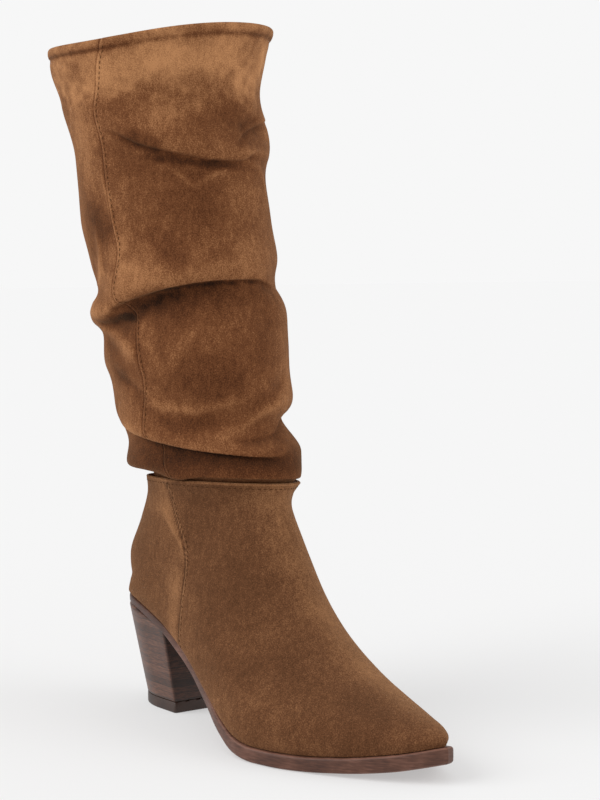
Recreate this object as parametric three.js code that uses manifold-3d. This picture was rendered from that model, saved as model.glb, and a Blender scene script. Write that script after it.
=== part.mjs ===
/**
 * One slouch boot for the right foot, in millimetres.
 * +X points to the toe, +Y to the inner side and +Z up. The origin is the centre of the
 * heel's resting face, on the floor.
 */
import * as THREE from 'three';
import { mergeVertices } from 'three/addons/utils/BufferGeometryUtils.js';
import Module from 'manifold-3d';

const wasm = await Module();
wasm.setup();

// Driving sizes.
const SOLE_LENGTH = 260.8;
const SOLE_WIDTH = 84.6;
const SOLE_THICKNESS = 7.6;
const EDGE_ROUND = 1.3;
const SEAT_BACK = -36.4;
const HEEL_HEIGHT = 57.8;
const HEEL_SETBACK = 1.2;
const HEEL_TOP_LENGTH = 57.7;
const HEEL_FOOT_LENGTH = 46;
const HEEL_FOOT_WIDTH = 40.6;
const HEEL_CORNER = 1.2;
const TOP_LIFT = 6;
const GAP = 0.3;
const UPPER_WALL = 1.9;
const SEAM_STEP = 0.6;
const WELT_BACK = 0.9;
const WELT_FRONT = 2.2;
const LASTING_MARGIN = 14;
const INSOLE_THICKNESS = 2.4;
const ANKLE_RISE = 70.8;
const ANKLE_OVERLAP = 6.6;
const ANKLE_LIFT = 4.2;
const SHAFT_HEIGHT = 248;
const SHAFT_WALL = 1.7;
const COLLAR_LENGTH = 134;
const COLLAR_WIDTH = 118.8;
const COLLAR_ROLL = 7;
const COLLAR_RISE_FRONT = 3.4;
const COLLAR_RISE_INNER = 2.6;
const COLLAR_DIP = 4.2;
const FOLD_SIZE = 10;

// Sizes that follow from them.
const SOLE_MIDDLE = SEAT_BACK + SOLE_LENGTH / 2;
const ANKLE_HEIGHT = HEEL_HEIGHT + ANKLE_RISE;
const SHAFT_FOOT = ANKLE_HEIGHT - ANKLE_OVERLAP;

// Mesh resolution.
const SOLE_STEPS = 34;
const FOOT_RINGS = 32;
const SHAFT_SPOKES = 38;
const HEEL_ARC_STEPS = 14;

const COLOURS = {
  suede: 0x8a5f3c,
  shaftSuede: 0x8a5c38,
  stack: 0x4c372f,
  soleEdge: 0x6b4c42,
  rubber: 0x1d1917,
  lining: 0xb08a60,
};

/** Plan outline of the sole: share of its length; its edges as shares of its width. */
const SOLE_OUTLINE = [
  { share: 0, outer: 0, inner: 0 },
  { share: 0.012, outer: -0.13, inner: 0.13 },
  { share: 0.045, outer: -0.242, inner: 0.242 },
  { share: 0.1, outer: -0.301, inner: 0.307 },
  { share: 0.17, outer: -0.337, inner: 0.331 },
  { share: 0.26, outer: -0.363, inner: 0.325 },
  { share: 0.36, outer: -0.39, inner: 0.313 },
  { share: 0.45, outer: -0.452, inner: 0.331 },
  { share: 0.54, outer: -0.532, inner: 0.378 },
  { share: 0.62, outer: -0.567, inner: 0.42 },
  { share: 0.7, outer: -0.53, inner: 0.433 },
  { share: 0.78, outer: -0.428, inner: 0.407 },
  { share: 0.86, outer: -0.3, inner: 0.338 },
  { share: 0.93, outer: -0.158, inner: 0.248 },
  { share: 0.975, outer: -0.047, inner: 0.165 },
  { share: 0.992, outer: 0.009, inner: 0.125 },
  { share: 1, outer: 0.069, inner: 0.069 },
];

/**
 * Side profile of the sole: share of its length, rise of its underside as a share of the
 * heel's height, and thickness as a share of that at the ball.
 */
const SOLE_PROFILE = [
  { share: 0, rise: 1, thickness: 0.553 },
  { share: 0.12, rise: 0.936, thickness: 0.579 },
  { share: 0.22, rise: 0.83, thickness: 0.632 },
  { share: 0.32, rise: 0.628, thickness: 0.737 },
  { share: 0.42, rise: 0.377, thickness: 0.842 },
  { share: 0.52, rise: 0.163, thickness: 0.961 },
  { share: 0.6, rise: 0.029, thickness: 1.013 },
  { share: 0.66, rise: 0, thickness: 1 },
  { share: 0.745, rise: 0, thickness: 1 },
  { share: 0.84, rise: 0.028, thickness: 1.026 },
  { share: 0.92, rise: 0.078, thickness: 1.092 },
  { share: 1, rise: 0.17, thickness: 1.105 },
];

/** Edge of the sole from the bottom up: share of the thickness, inset as a share of its round. */
const SOLE_EDGE = [
  { share: 0, inset: 1 },
  { share: 0.13, inset: 0.12 },
  { share: 0.55, inset: 0 },
  { share: 0.86, inset: 0.12 },
  { share: 1, inset: 0.85 },
];

/**
 * Sections of the foot from the toe to the ankle. Each runs across the foot in a plane
 * from its foot point (footX, footZ above the sole's top) to its crest (crestX, crestZ).
 * outer and inner are the greatest half widths, ridge is the sideways place of the crest,
 * belly is where along the section it is widest, and round is the power of its arch.
 * Places in x are shares of the sole's length, footZ of the ankle's rise, crestZ of the
 * ankle's height, and widths of the sole's width.
 */
const FOOT_SECTIONS = [
  { at: 0, footX: 0.985, footZ: 0, crestX: 0.9853, crestZ: 0.158, outer: 0.024, inner: 0.02, ridge: 0.073, belly: 0.4, round: 2 },
  { at: 0.02, footX: 0.9795, footZ: 0, crestX: 0.981, crestZ: 0.17, outer: 0.058, inner: 0.044, ridge: 0.073, belly: 0.36, round: 2 },
  { at: 0.05, footX: 0.9642, footZ: 0, crestX: 0.9695, crestZ: 0.184, outer: 0.108, inner: 0.088, ridge: 0.073, belly: 0.34, round: 1.95 },
  { at: 0.1, footX: 0.9305, footZ: 0, crestX: 0.942, crestZ: 0.202, outer: 0.182, inner: 0.158, ridge: 0.071, belly: 0.33, round: 1.88 },
  { at: 0.17, footX: 0.8782, footZ: 0, crestX: 0.8974, crestZ: 0.224, outer: 0.272, inner: 0.244, ridge: 0.061, belly: 0.32, round: 1.8 },
  { at: 0.25, footX: 0.8067, footZ: 0, crestX: 0.8336, crestZ: 0.258, outer: 0.376, inner: 0.348, ridge: 0.047, belly: 0.31, round: 1.74 },
  { at: 0.33, footX: 0.7147, footZ: 0, crestX: 0.7607, crestZ: 0.311, outer: 0.47, inner: 0.433, ridge: 0.035, belly: 0.32, round: 1.7 },
  { at: 0.41, footX: 0.6112, footZ: 0, crestX: 0.6879, crestZ: 0.392, outer: 0.504, inner: 0.461, ridge: 0.031, belly: 0.34, round: 1.7 },
  { at: 0.49, footX: 0.4962, footZ: 0, crestX: 0.6189, crestZ: 0.498, outer: 0.468, inner: 0.437, ridge: 0.033, belly: 0.36, round: 1.72 },
  { at: 0.57, footX: 0.3696, footZ: 0, crestX: 0.5637, crestZ: 0.622, outer: 0.426, inner: 0.409, ridge: 0.038, belly: 0.38, round: 1.78 },
  { at: 0.65, footX: 0.2431, footZ: 0, crestX: 0.5253, crestZ: 0.747, outer: 0.395, inner: 0.392, ridge: 0.045, belly: 0.4, round: 1.84 },
  { at: 0.73, footX: 0.1281, footZ: 0, crestX: 0.5, crestZ: 0.844, outer: 0.376, inner: 0.378, ridge: 0.047, belly: 0.42, round: 1.9 },
  { at: 0.8, footX: 0.0437, footZ: 0, crestX: 0.4847, crestZ: 0.905, outer: 0.364, inner: 0.366, ridge: 0.047, belly: 0.44, round: 1.96 },
  { at: 0.85, footX: 0.0084, footZ: 0.028, crestX: 0.477, crestZ: 0.936, outer: 0.355, inner: 0.362, ridge: 0.047, belly: 0.45, round: 2 },
  { at: 0.9, footX: 0.0015, footZ: 0.24, crestX: 0.4732, crestZ: 0.961, outer: 0.355, inner: 0.366, ridge: 0.047, belly: 0.46, round: 2 },
  { at: 0.95, footX: 0.0337, footZ: 0.565, crestX: 0.4724, crestZ: 0.98, outer: 0.366, inner: 0.378, ridge: 0.047, belly: 0.47, round: 2 },
  { at: 0.98, footX: 0.0629, footZ: 0.805, crestX: 0.4739, crestZ: 0.991, outer: 0.39, inner: 0.402, ridge: 0.047, belly: 0.49, round: 2 },
  { at: 1, footX: 0.0675, footZ: 0.927, crestX: 0.477, crestZ: 1, outer: 0.418, inner: 0.426, ridge: 0.047, belly: 0.5, round: 2 },
];

/**
 * Seam at the back of the vamp: share of the ankle's height, and its place on each side as
 * a share of the sole's length.
 */
const COUNTER_SEAM = [
  { height: 0.288, outer: 0.339, inner: 0.224 },
  { height: 0.428, outer: 0.335, inner: 0.224 },
  { height: 0.614, outer: 0.332, inner: 0.226 },
  { height: 0.747, outer: 0.311, inner: 0.235 },
  { height: 0.879, outer: 0.278, inner: 0.245 },
  { height: 1.011, outer: 0.266, inner: 0.255 },
];

/**
 * Shaft from its lower edge up: level and lean of its centre line as shares of its height,
 * and how far it has opened from the ankle's size (0) to the collar's (1).
 */
const SHAFT_SECTIONS = [
  { level: 0, leanX: -0.0048, leanY: 0, flareX: -0.355, flareY: -0.18 },
  { level: 0.02, leanX: -0.0016, leanY: 0, flareX: -0.161, flareY: -0.07 },
  { level: 0.03, leanX: -0.002, leanY: 0, flareX: -0.03, flareY: 0 },
  { level: 0.042, leanX: -0.0045, leanY: -0.0006, flareX: 0.24, flareY: 0.14 },
  { level: 0.06, leanX: -0.0129, leanY: -0.0024, flareX: 0.37, flareY: 0.235 },
  { level: 0.105, leanX: -0.025, leanY: -0.0056, flareX: 0.394, flareY: 0.297 },
  { level: 0.161, leanX: -0.0569, leanY: -0.0121, flareX: 0.265, flareY: 0.297 },
  { level: 0.234, leanX: -0.0609, leanY: -0.0161, flareX: 0.419, flareY: 0.422 },
  { level: 0.331, leanX: -0.079, leanY: -0.0202, flareX: 0.581, flareY: 0.555 },
  { level: 0.415, leanX: -0.0935, leanY: -0.0262, flareX: 0.523, flareY: 0.555 },
  { level: 0.492, leanX: -0.1032, leanY: -0.0282, flareX: 0.394, flareY: 0.555 },
  { level: 0.605, leanX: -0.1274, leanY: -0.0343, flareX: 0.471, flareY: 0.625 },
  { level: 0.738, leanX: -0.1294, leanY: -0.0423, flareX: 0.497, flareY: 0.672 },
  { level: 0.867, leanX: -0.1556, leanY: -0.0524, flareX: 0.561, flareY: 0.727 },
  { level: 0.944, leanX: -0.1516, leanY: -0.0585, flareX: 0.845, flareY: 0.906 },
  { level: 1, leanX: -0.1395, leanY: -0.0605, flareX: 1, flareY: 1 },
];

/**
 * Folds of the slouched shaft. turn is the angle of the fold's middle (0 front, 90 inner
 * side, -90 outer side, 180 back) and spread its half width; level is its share of the
 * shaft's height there, slope and bow its rise per 100 degrees and per 100 degrees squared;
 * reach is its half height, out how far the lip above stands out, tuck how far the skin
 * below goes in, and sag how far the lip hangs over the tuck, all shares of the fold size.
 */
const FOLDS = [
  { turn: -122, spread: 60, level: 0.056, slope: 0, bow: 0, reach: 0.5, out: 0.34, tuck: 0.04, sag: 0.5 },
  { turn: 115, spread: 95, level: 0.093, slope: 0, bow: -0.3, reach: 0.8, out: 0.32, tuck: 0.18, sag: 0.46 },
  { turn: -60, spread: 88, level: 0.117, slope: -1.2, bow: 0.6, reach: 0.7, out: 0.34, tuck: 0.3, sag: 0.5 },
  { turn: 60, spread: 90, level: 0.188, slope: 0.4, bow: -0.4, reach: 0.8, out: 0.24, tuck: 0.36, sag: 0.4 },
  { turn: 180, spread: 62, level: 0.25, slope: 0.4, bow: 0.4, reach: 0.7, out: 0.3, tuck: 0.32, sag: 0.38 },
  { turn: -42, spread: 80, level: 0.46, slope: 1.6, bow: -2.25, reach: 1.05, out: 0.5, tuck: 0.5, sag: 0.8 },
  { turn: 112, spread: 64, level: 0.331, slope: 0.8, bow: 0.4, reach: 0.9, out: 0.36, tuck: 0.38, sag: 0.58 },
  { turn: 205, spread: 70, level: 0.359, slope: 0.8, bow: 0, reach: 0.8, out: 0.44, tuck: 0.32, sag: 0.44 },
  { turn: 205, spread: 60, level: 0.468, slope: -0.6, bow: 0, reach: 0.9, out: 0.06, tuck: 0.3, sag: 0.1 },
  { turn: 85, spread: 80, level: 0.48, slope: -0.8, bow: 0.3, reach: 1, out: 0.26, tuck: 0.26, sag: 0.26 },
  { turn: -30, spread: 62, level: 0.726, slope: -1.9, bow: 4, reach: 1.1, out: 0.24, tuck: 0.28, sag: 0.25 },
  { turn: 8, spread: 46, level: 0.839, slope: -1.6, bow: 0, reach: 0.9, out: 0.18, tuck: 0.26, sag: 0.16 },
  { turn: 135, spread: 80, level: 0.702, slope: -0.5, bow: 0, reach: 1.6, out: 0.16, tuck: 0.18, sag: 0.08 },
  { turn: 58, spread: 46, level: 0.445, slope: 0, bow: 0, reach: 1, out: 0, tuck: -0.3, sag: 0 },
  { turn: 58, spread: 40, level: 0.738, slope: 0, bow: 0, reach: 1.1, out: 0.16, tuck: 0.24, sag: 0.1 },
  { turn: -122, spread: 42, level: 0.425, slope: 0, bow: 0, reach: 0.8, out: -0.25, tuck: 0, sag: 0 },
];

/** Rim of the collar: how far below the top edge and how far out, as shares of the roll. */
const COLLAR_RIM = [
  { below: 0, out: 0 },
  { below: 0.17, out: 0.14 },
  { below: 0.49, out: 0.2 },
  { below: 0.8, out: 0.13 },
  { below: 1.06, out: -0.1 },
  { below: 1.71, out: 0 },
];

/** Levels of the shaft's rings, as shares of its height. */
const SHAFT_LEVELS = [
  0, 0.016, 0.032, 0.044, 0.056, 0.069, 0.081, 0.095, 0.111, 0.125, 0.139, 0.153,
  0.169, 0.19, 0.216, 0.242, 0.27, 0.302, 0.335, 0.365, 0.389, 0.411, 0.429, 0.446,
  0.46, 0.476, 0.498, 0.528, 0.573, 0.621, 0.665, 0.698, 0.73, 0.77, 0.815, 0.859,
  0.907, 0.948, 0.97, 0.98, 0.99, 1,
];

/** Value of one column at a place in a table, along a smooth curve with no overshoot. */
function along(rows, place, column, at) {
  const last = rows.length - 1;
  const x = Math.min(Math.max(at, rows[0][place]), rows[last][place]);
  let i = 0;
  while (i < last - 1 && x > rows[i + 1][place]) i += 1;
  const slope = (k) => (rows[k + 1][column] - rows[k][column]) / (rows[k + 1][place] - rows[k][place]);
  const tangent = (k) => {
    if (k === 0) return slope(0);
    if (k === last) return slope(last - 1);
    const before = slope(k - 1);
    const after = slope(k);
    return before * after <= 0 ? 0 : (2 * before * after) / (before + after);
  };
  const width = rows[i + 1][place] - rows[i][place];
  const t = (x - rows[i][place]) / width;
  const start = rows[i][column] * (1 + 2 * t) * (1 - t) ** 2 + tangent(i) * width * t * (1 - t) ** 2;
  const end = rows[i + 1][column] * t * t * (3 - 2 * t) + tangent(i + 1) * width * t * t * (t - 1);
  return start + end;
}

const smooth = (from, to, value) => THREE.MathUtils.smoothstep(value, from, to);
const shareAt = (x) => THREE.MathUtils.clamp((x - SEAT_BACK) / SOLE_LENGTH, 0, 1);
const placeAt = (share) => SEAT_BACK + SOLE_LENGTH * share;
const outerEdge = (x) => SOLE_WIDTH * along(SOLE_OUTLINE, 'share', 'outer', shareAt(x));
const innerEdge = (x) => SOLE_WIDTH * along(SOLE_OUTLINE, 'share', 'inner', shareAt(x));
const soleThickness = (x) => SOLE_THICKNESS * along(SOLE_PROFILE, 'share', 'thickness', shareAt(x));
const soleBottom = (x) => HEEL_HEIGHT * along(SOLE_PROFILE, 'share', 'rise', shareAt(x));
const soleTop = (x) => soleBottom(x) + soleThickness(x);
/** Width of the sole's edge that shows round the upper: wider from the arch forward. */
const welt = (x) => THREE.MathUtils.lerp(WELT_BACK, WELT_FRONT, smooth(0.3, 0.6, shareAt(x)));

/** Closed mesh from rings of equal length; joined says the last ring meets the first. */
function ringSolid(rings, joined = false) {
  const count = rings[0].length;
  const position = rings.flat().flatMap((p) => [p.x, p.y, p.z]);
  const index = [];
  const spans = joined ? rings.length : rings.length - 1;
  for (let i = 0; i < spans; i += 1) {
    const next = (i + 1) % rings.length;
    for (let j = 0; j < count; j += 1) {
      const k = (j + 1) % count;
      const a = i * count + j;
      const b = i * count + k;
      const c = next * count + k;
      const d = next * count + j;
      index.push(a, b, c, a, c, d);
    }
  }
  if (!joined) {
    capRing(index, 0, count, true);
    capRing(index, (rings.length - 1) * count, count, false);
  }
  return solidGeometry(position, index);
}

/** Closes a ring that is mirrored about its first vertex with a strip across it. */
function capRing(index, offset, count, flip) {
  const add = (a, b, c) => index.push(offset + a, offset + (flip ? c : b), offset + (flip ? b : c));
  let low = 1;
  let high = count - 1;
  add(0, low, high);
  while (high - low > 1) {
    add(low, low + 1, high);
    low += 1;
    if (high - low > 1) {
      add(low, high - 1, high);
      high -= 1;
    }
  }
}

/** Geometry with shared vertices, wound so that its faces point out. */
function solidGeometry(position, index) {
  const raw = new THREE.BufferGeometry();
  raw.setAttribute('position', new THREE.Float32BufferAttribute(position, 3));
  raw.setIndex(index);
  const merged = mergeVertices(raw, 1e-4);
  const kept = [];
  const source = merged.index.array;
  for (let i = 0; i < source.length; i += 3) {
    const [a, b, c] = [source[i], source[i + 1], source[i + 2]];
    if (a !== b && b !== c && a !== c) kept.push(a, b, c);
  }
  merged.setIndex(signedVolume(merged, kept) < 0 ? kept.reverse() : kept);
  return merged;
}

/** Volume inside a triangle list, negative when its faces point in. */
function signedVolume(geometry, index) {
  const place = geometry.attributes.position;
  const corner = (i) => new THREE.Vector3().fromBufferAttribute(place, i);
  let total = 0;
  for (let i = 0; i < index.length; i += 3) {
    total += corner(index[i]).dot(corner(index[i + 1]).cross(corner(index[i + 2]))) / 6;
  }
  return total;
}

/** The geometry as a solid for cutting. */
function toSolid(geometry) {
  const mesh = new wasm.Mesh({
    numProp: 3,
    vertProperties: new Float32Array(geometry.attributes.position.array),
    triVerts: new Uint32Array(geometry.index.array),
  });
  return new wasm.Manifold(mesh);
}

/** A cut solid as geometry again. */
function fromSolid(solid) {
  const mesh = solid.getMesh();
  const geometry = new THREE.BufferGeometry();
  geometry.setAttribute('position', new THREE.Float32BufferAttribute(mesh.vertProperties, 3));
  geometry.setIndex(Array.from(mesh.triVerts));
  return geometry;
}

/** The rings moved inward by the wall, square to the skin, with corners kept full. */
function insetRings(rings, wall) {
  const count = rings[0].length;
  return rings.map((ring, i) => ring.map((point, j) => {
    const normals = [];
    for (const [di, dj] of [[1, 1], [1, -1], [-1, 1], [-1, -1]]) {
      const other = rings[i + di];
      if (!other) continue;
      const upward = other[j].clone().sub(point).multiplyScalar(di);
      const around = ring[(j + dj + count) % count].clone().sub(point).multiplyScalar(dj);
      const normal = around.cross(upward);
      if (normal.length() > 1e-9) normals.push(normal.normalize());
    }
    const mean = normals.reduce((sum, n) => sum.add(n), new THREE.Vector3()).normalize();
    const lean = normals.reduce((sum, n) => sum + n.dot(mean), 0) / normals.length;
    return point.clone().addScaledVector(mean, -wall / Math.max(lean, 0.7));
  }));
}

/** Ring of the sole's outline, moved in by an inset and shrunk lengthwise about its middle. */
function outlineRing(inset, heightAt, shrink = 1) {
  const shares = [];
  for (let i = 0; i <= SOLE_STEPS; i += 1) shares.push(0.5 - 0.5 * Math.cos((Math.PI * i) / SOLE_STEPS));
  const edge = (share, column) => new THREE.Vector2(
    placeAt(share),
    SOLE_WIDTH * along(SOLE_OUTLINE, 'share', column, share),
  );
  const plan = [
    ...shares.map((share) => edge(share, 'outer')),
    ...shares.slice(1, -1).reverse().map((share) => edge(share, 'inner')),
  ];
  return plan.map((point, i) => {
    const before = plan[(i + plan.length - 1) % plan.length];
    const after = plan[(i + 1) % plan.length];
    const inward = after.clone().sub(before).normalize().rotateAround(new THREE.Vector2(), Math.PI / 2);
    const place = point.clone().addScaledVector(inward, inset);
    const x = SOLE_MIDDLE + (place.x - SOLE_MIDDLE) * shrink;
    return new THREE.Vector3(x, place.y, heightAt(x));
  });
}

function makeOutsole() {
  const rings = SOLE_EDGE.map(({ share, inset }) => (
    outlineRing(inset * EDGE_ROUND, (x) => soleBottom(x) + share * soleThickness(x))
  ));
  return ringSolid(rings);
}

function makeInsole() {
  const inset = WELT_FRONT + UPPER_WALL + 1.1;
  const shrink = 1 - 10 / SOLE_LENGTH;
  const under = (x) => soleTop(x) + 2.4 * GAP + UPPER_WALL;
  return ringSolid([
    outlineRing(inset, under, shrink),
    outlineRing(inset, (x) => under(x) + INSOLE_THICKNESS, shrink),
  ]);
}

// Heel block: a D in plan with a flat upright breast, narrower at the floor.
const HEEL_FRONT = SEAT_BACK + HEEL_SETBACK + HEEL_TOP_LENGTH;
const HEEL_TOP = { length: HEEL_TOP_LENGTH, width: SOLE_WIDTH * 0.656 };
const HEEL_FOOT = { length: HEEL_FOOT_LENGTH, width: HEEL_FOOT_WIDTH };

/** Ring of the heel at a share of its height, from the breast round the back. */
function heelRing(share, heightAt) {
  const mix = (key) => THREE.MathUtils.lerp(HEEL_FOOT[key], HEEL_TOP[key], share);
  const [length, half] = [mix('length'), mix('width') / 2];
  const middle = HEEL_FRONT - 0.38 * length;
  const ring = [];
  const place = (x, y) => ring.push(new THREE.Vector3(x, y, heightAt(x)));
  place(HEEL_FRONT, 0);
  place(HEEL_FRONT, HEEL_CORNER / 2 - half);
  place(HEEL_FRONT - HEEL_CORNER, -half);
  for (let i = 0; i <= HEEL_ARC_STEPS; i += 1) {
    const turn = -Math.PI / 2 - (Math.PI * i) / HEEL_ARC_STEPS;
    const side = Math.sign(Math.sin(turn)) * Math.abs(Math.sin(turn)) ** 0.9;
    place(middle + 0.62 * length * Math.cos(turn), half * side);
  }
  place(HEEL_FRONT - HEEL_CORNER, half);
  place(HEEL_FRONT, half - HEEL_CORNER / 2);
  return ring;
}

function makeHeel() {
  const levels = [0, 0.25, 0.5, 0.75, 1];
  const foot = TOP_LIFT + GAP;
  return ringSolid(levels.map((level) => (
    heelRing(level, (x) => foot + level * (soleBottom(x) - GAP - foot))
  )));
}

function makeTopLift() {
  return ringSolid([heelRing(-0.02, () => 0), heelRing(0, () => TOP_LIFT)]);
}

/** How far the ankle seam is raised, from side -1 on the outer side to 1 on the inner. */
function seamLift(side) {
  return ANKLE_LIFT * (0.55 - 0.45 * THREE.MathUtils.clamp(side, -1, 1));
}

/** One section of the foot as a ring, from the middle of its underside round the outer side. */
function footRing(at) {
  const get = (column) => along(FOOT_SECTIONS, 'at', column, at);
  const footX = placeAt(get('footX'));
  const footZ = ANKLE_RISE * get('footZ');
  const foot = new THREE.Vector3(footX, 0, soleTop(footX) + GAP + footZ);
  const crest = new THREE.Vector3(placeAt(get('crestX')), 0, ANKLE_HEIGHT * get('crestZ'));
  const run = crest.clone().sub(foot);
  const belly = get('belly');
  const power = 2 / get('round');
  const ridge = SOLE_WIDTH * get('ridge');
  const breadth = (SOLE_WIDTH * (get('outer') + get('inner'))) / 2;
  const centre = (outerEdge(footX) + innerEdge(footX)) / 2;
  const middle = footX > 0 ? centre : ridge * smooth(0, 0.85 * ANKLE_RISE, footZ);
  const onSole = 1 - smooth(0, 0.085 * ANKLE_RISE, footZ);
  const half = (side) => {
    const widest = SOLE_WIDTH * get(side < 0 ? 'outer' : 'inner');
    const edge = Math.abs((side < 0 ? outerEdge(footX) : innerEdge(footX)) - middle) - welt(footX);
    const base = Math.min(Math.max(edge, 0.8), widest - 0.3) * onSole + 1.2 * (1 - onSole);
    const points = [];
    for (let i = 1; i <= 2; i += 1) points.push([base * (i / 3), 0]);
    for (let i = 0; i < 4; i += 1) {
      const turn = (Math.PI / 2) * (i / 4);
      points.push([base + (widest - base) * Math.sin(turn), belly * (1 - Math.cos(turn))]);
    }
    for (let i = 0; i < 9; i += 1) {
      const turn = (Math.PI / 2) * (i / 9);
      points.push([widest * Math.cos(turn) ** power, belly + (1 - belly) * Math.sin(turn) ** power]);
    }
    return points.map(([reach, climb]) => place(side * reach, climb));
  };
  const place = (reach, climb) => {
    const point = foot.clone().addScaledVector(run, climb);
    point.y = reach + THREE.MathUtils.lerp(middle, ridge, climb);
    point.z += seamLift(reach / breadth) * smooth(0.88, 1, at);
    return point;
  };
  return [place(0, 0), ...half(-1), place(0, 1), ...half(1).reverse()];
}

/** The vamp laps over the counter, so it stands out by the step in front of their seam. */
function raiseVamp(rings) {
  const lifted = insetRings(rings, -SEAM_STEP);
  return rings.map((ring, i) => ring.map((point, j) => {
    const side = point.y < 0 ? 'outer' : 'inner';
    const seam = placeAt(along(COUNTER_SEAM, 'height', side, point.z / ANKLE_HEIGHT));
    const clear = smooth(0.5, 5, point.z - soleTop(point.x));
    return point.clone().lerp(lifted[i][j], clear * smooth(seam - 2.5, seam + 2.5, point.x));
  }));
}

/** Solid that opens the underside of the foot inside the turned-in margin. */
function undersideOpening() {
  const steps = 20;
  const side = (sign) => {
    const points = [];
    for (let i = 0; i <= steps; i += 1) {
      const share = i / steps;
      const x = placeAt(THREE.MathUtils.lerp(0.07, 0.9, share));
      const taper = Math.sqrt(Math.max(1 - (2 * share - 1) ** 6, 0));
      const centre = (outerEdge(x) + innerEdge(x)) / 2;
      const half = (innerEdge(x) - outerEdge(x)) / 2 - LASTING_MARGIN;
      points.push(new THREE.Vector2(x, centre + sign * Math.max(half * taper, i % steps === 0 ? 0 : 1)));
    }
    return points;
  };
  const plan = [...side(-1), ...side(1).slice(1, -1).reverse()];
  const ring = (rise) => plan.map((p) => new THREE.Vector3(p.x, p.y, soleTop(p.x) + rise));
  return ringSolid([ring(-3), ring(GAP + UPPER_WALL + 0.4)]);
}

function makeUpper() {
  const rings = [];
  for (let i = 0; i <= FOOT_RINGS; i += 1) {
    const share = i / FOOT_RINGS;
    rings.push(footRing(share < 0.15 ? share * (0.3 + share * 4.667) : share));
  }
  const outside = raiseVamp(rings);
  const inside = insetRings(rings, UPPER_WALL).slice(2);
  const skin = ringSolid([...outside, ...inside.reverse()]);
  return fromSolid(toSolid(skin).subtract(toSolid(undersideOpening())));
}

/** How far a point of the shaft is moved outward and upward by all folds. */
function foldShift(turn, level) {
  let out = 0;
  let rise = 0;
  for (const fold of FOLDS) {
    const offset = ((turn - fold.turn + 540) % 360) - 180;
    const fade = Math.max(1 - (offset / fold.spread) ** 2, 0) ** 1.5;
    const turned = offset / 100;
    const bend = FOLD_SIZE * (fold.slope + fold.bow * turned) * turned;
    const away = ((level - fold.level) * SHAFT_HEIGHT - bend) / (fold.reach * FOLD_SIZE);
    const wave = 1.65 * away * Math.exp(-0.5 * away * away) * fade * FOLD_SIZE;
    out += wave * (away > 0 ? fold.out : fold.tuck);
    rise -= wave * fold.sag * 0.62;
  }
  return { out, rise };
}

/** Middle and half sizes of the opening at the top of the foot, inside its wall. */
function ankleOpening() {
  const last = FOOT_SECTIONS[FOOT_SECTIONS.length - 1];
  return {
    x: placeAt((last.footX + last.crestX) / 2),
    y: SOLE_WIDTH * last.ridge,
    halfLength: (SOLE_LENGTH * (last.crestX - last.footX)) / 2 - UPPER_WALL,
    halfWidth: (SOLE_WIDTH * (last.outer + last.inner)) / 2 - UPPER_WALL,
  };
}

/** One ring of the shaft's outer skin at a level, as a share of its height. */
function shaftRing(level) {
  const get = (column) => along(SHAFT_SECTIONS, 'level', column, level);
  const ankle = ankleOpening();
  const centreX = ankle.x + SHAFT_HEIGHT * get('leanX');
  const centreY = ankle.y + SHAFT_HEIGHT * get('leanY');
  const halfLength = THREE.MathUtils.lerp(ankle.halfLength, COLLAR_LENGTH / 2, get('flareX'));
  const halfWidth = THREE.MathUtils.lerp(ankle.halfWidth, COLLAR_WIDTH / 2, get('flareY'));
  const height = SHAFT_FOOT + SHAFT_HEIGHT * level;
  const rim = COLLAR_ROLL * along(COLLAR_RIM, 'below', 'out', (SHAFT_HEIGHT * (1 - level)) / COLLAR_ROLL);
  const ring = [];
  for (let j = 0; j < SHAFT_SPOKES; j += 1) {
    const turn = -180 + (360 * j) / SHAFT_SPOKES;
    const angle = THREE.MathUtils.degToRad(turn);
    const { out, rise } = foldShift(turn, level);
    const x = centreX + (halfLength + out + rim) * Math.cos(angle);
    const y = centreY + (halfWidth + out + rim) * Math.sin(angle);
    const lift = seamLift(Math.sin(angle)) * (1 - smooth(0, 0.13, level));
    ring.push(new THREE.Vector3(x, y, height + rise + lift + collarTilt(level, angle)));
  }
  return ring;
}

/** The worn collar stands a little higher in front and dips at the outer seam. */
function collarTilt(level, angle) {
  const tilt = COLLAR_RISE_FRONT * Math.cos(angle) + COLLAR_RISE_INNER * Math.sin(angle);
  const dip = COLLAR_DIP * Math.exp(3.2 * (Math.cos(angle + 1.2) - 1));
  return (tilt - dip) * smooth(0.8, 1, level);
}

function makeShaft() {
  const outside = SHAFT_LEVELS.map(shaftRing);
  const inside = insetRings(outside, SHAFT_WALL).reverse();
  return ringSolid([...outside, ...inside], true);
}

function makePiece(name, geometry, colour, roughness) {
  const flat = geometry.clone();
  flat.computeVertexNormals();
  const material = new THREE.MeshStandardMaterial({ color: colour, roughness, metalness: 0 });
  const mesh = new THREE.Mesh(flat, material);
  mesh.name = name;
  return mesh;
}

const boot = new THREE.Group();
boot.name = 'slouch_boot';
boot.add(
  makePiece('top_lift', makeTopLift(), COLOURS.rubber, 0.7),
  makePiece('heel', makeHeel(), COLOURS.stack, 0.45),
  makePiece('outsole', makeOutsole(), COLOURS.soleEdge, 0.5),
  makePiece('insole', makeInsole(), COLOURS.lining, 0.7),
  makePiece('upper', makeUpper(), COLOURS.suede, 0.95),
  makePiece('shaft', makeShaft(), COLOURS.shaftSuede, 0.95),
);

export default boot;
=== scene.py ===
"""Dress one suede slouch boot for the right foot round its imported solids.

Sizes are in millimetres until they go into a mesh: +X points to the toe, +Y to the inner
side, +Z up, and the origin is the centre of the heel's resting face on the floor.
"""

from __future__ import annotations

import logging
import math
from dataclasses import dataclass
from enum import Enum
from typing import Callable, Sequence

import bpy
import numpy as np
from mathutils import Matrix, Vector

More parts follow.
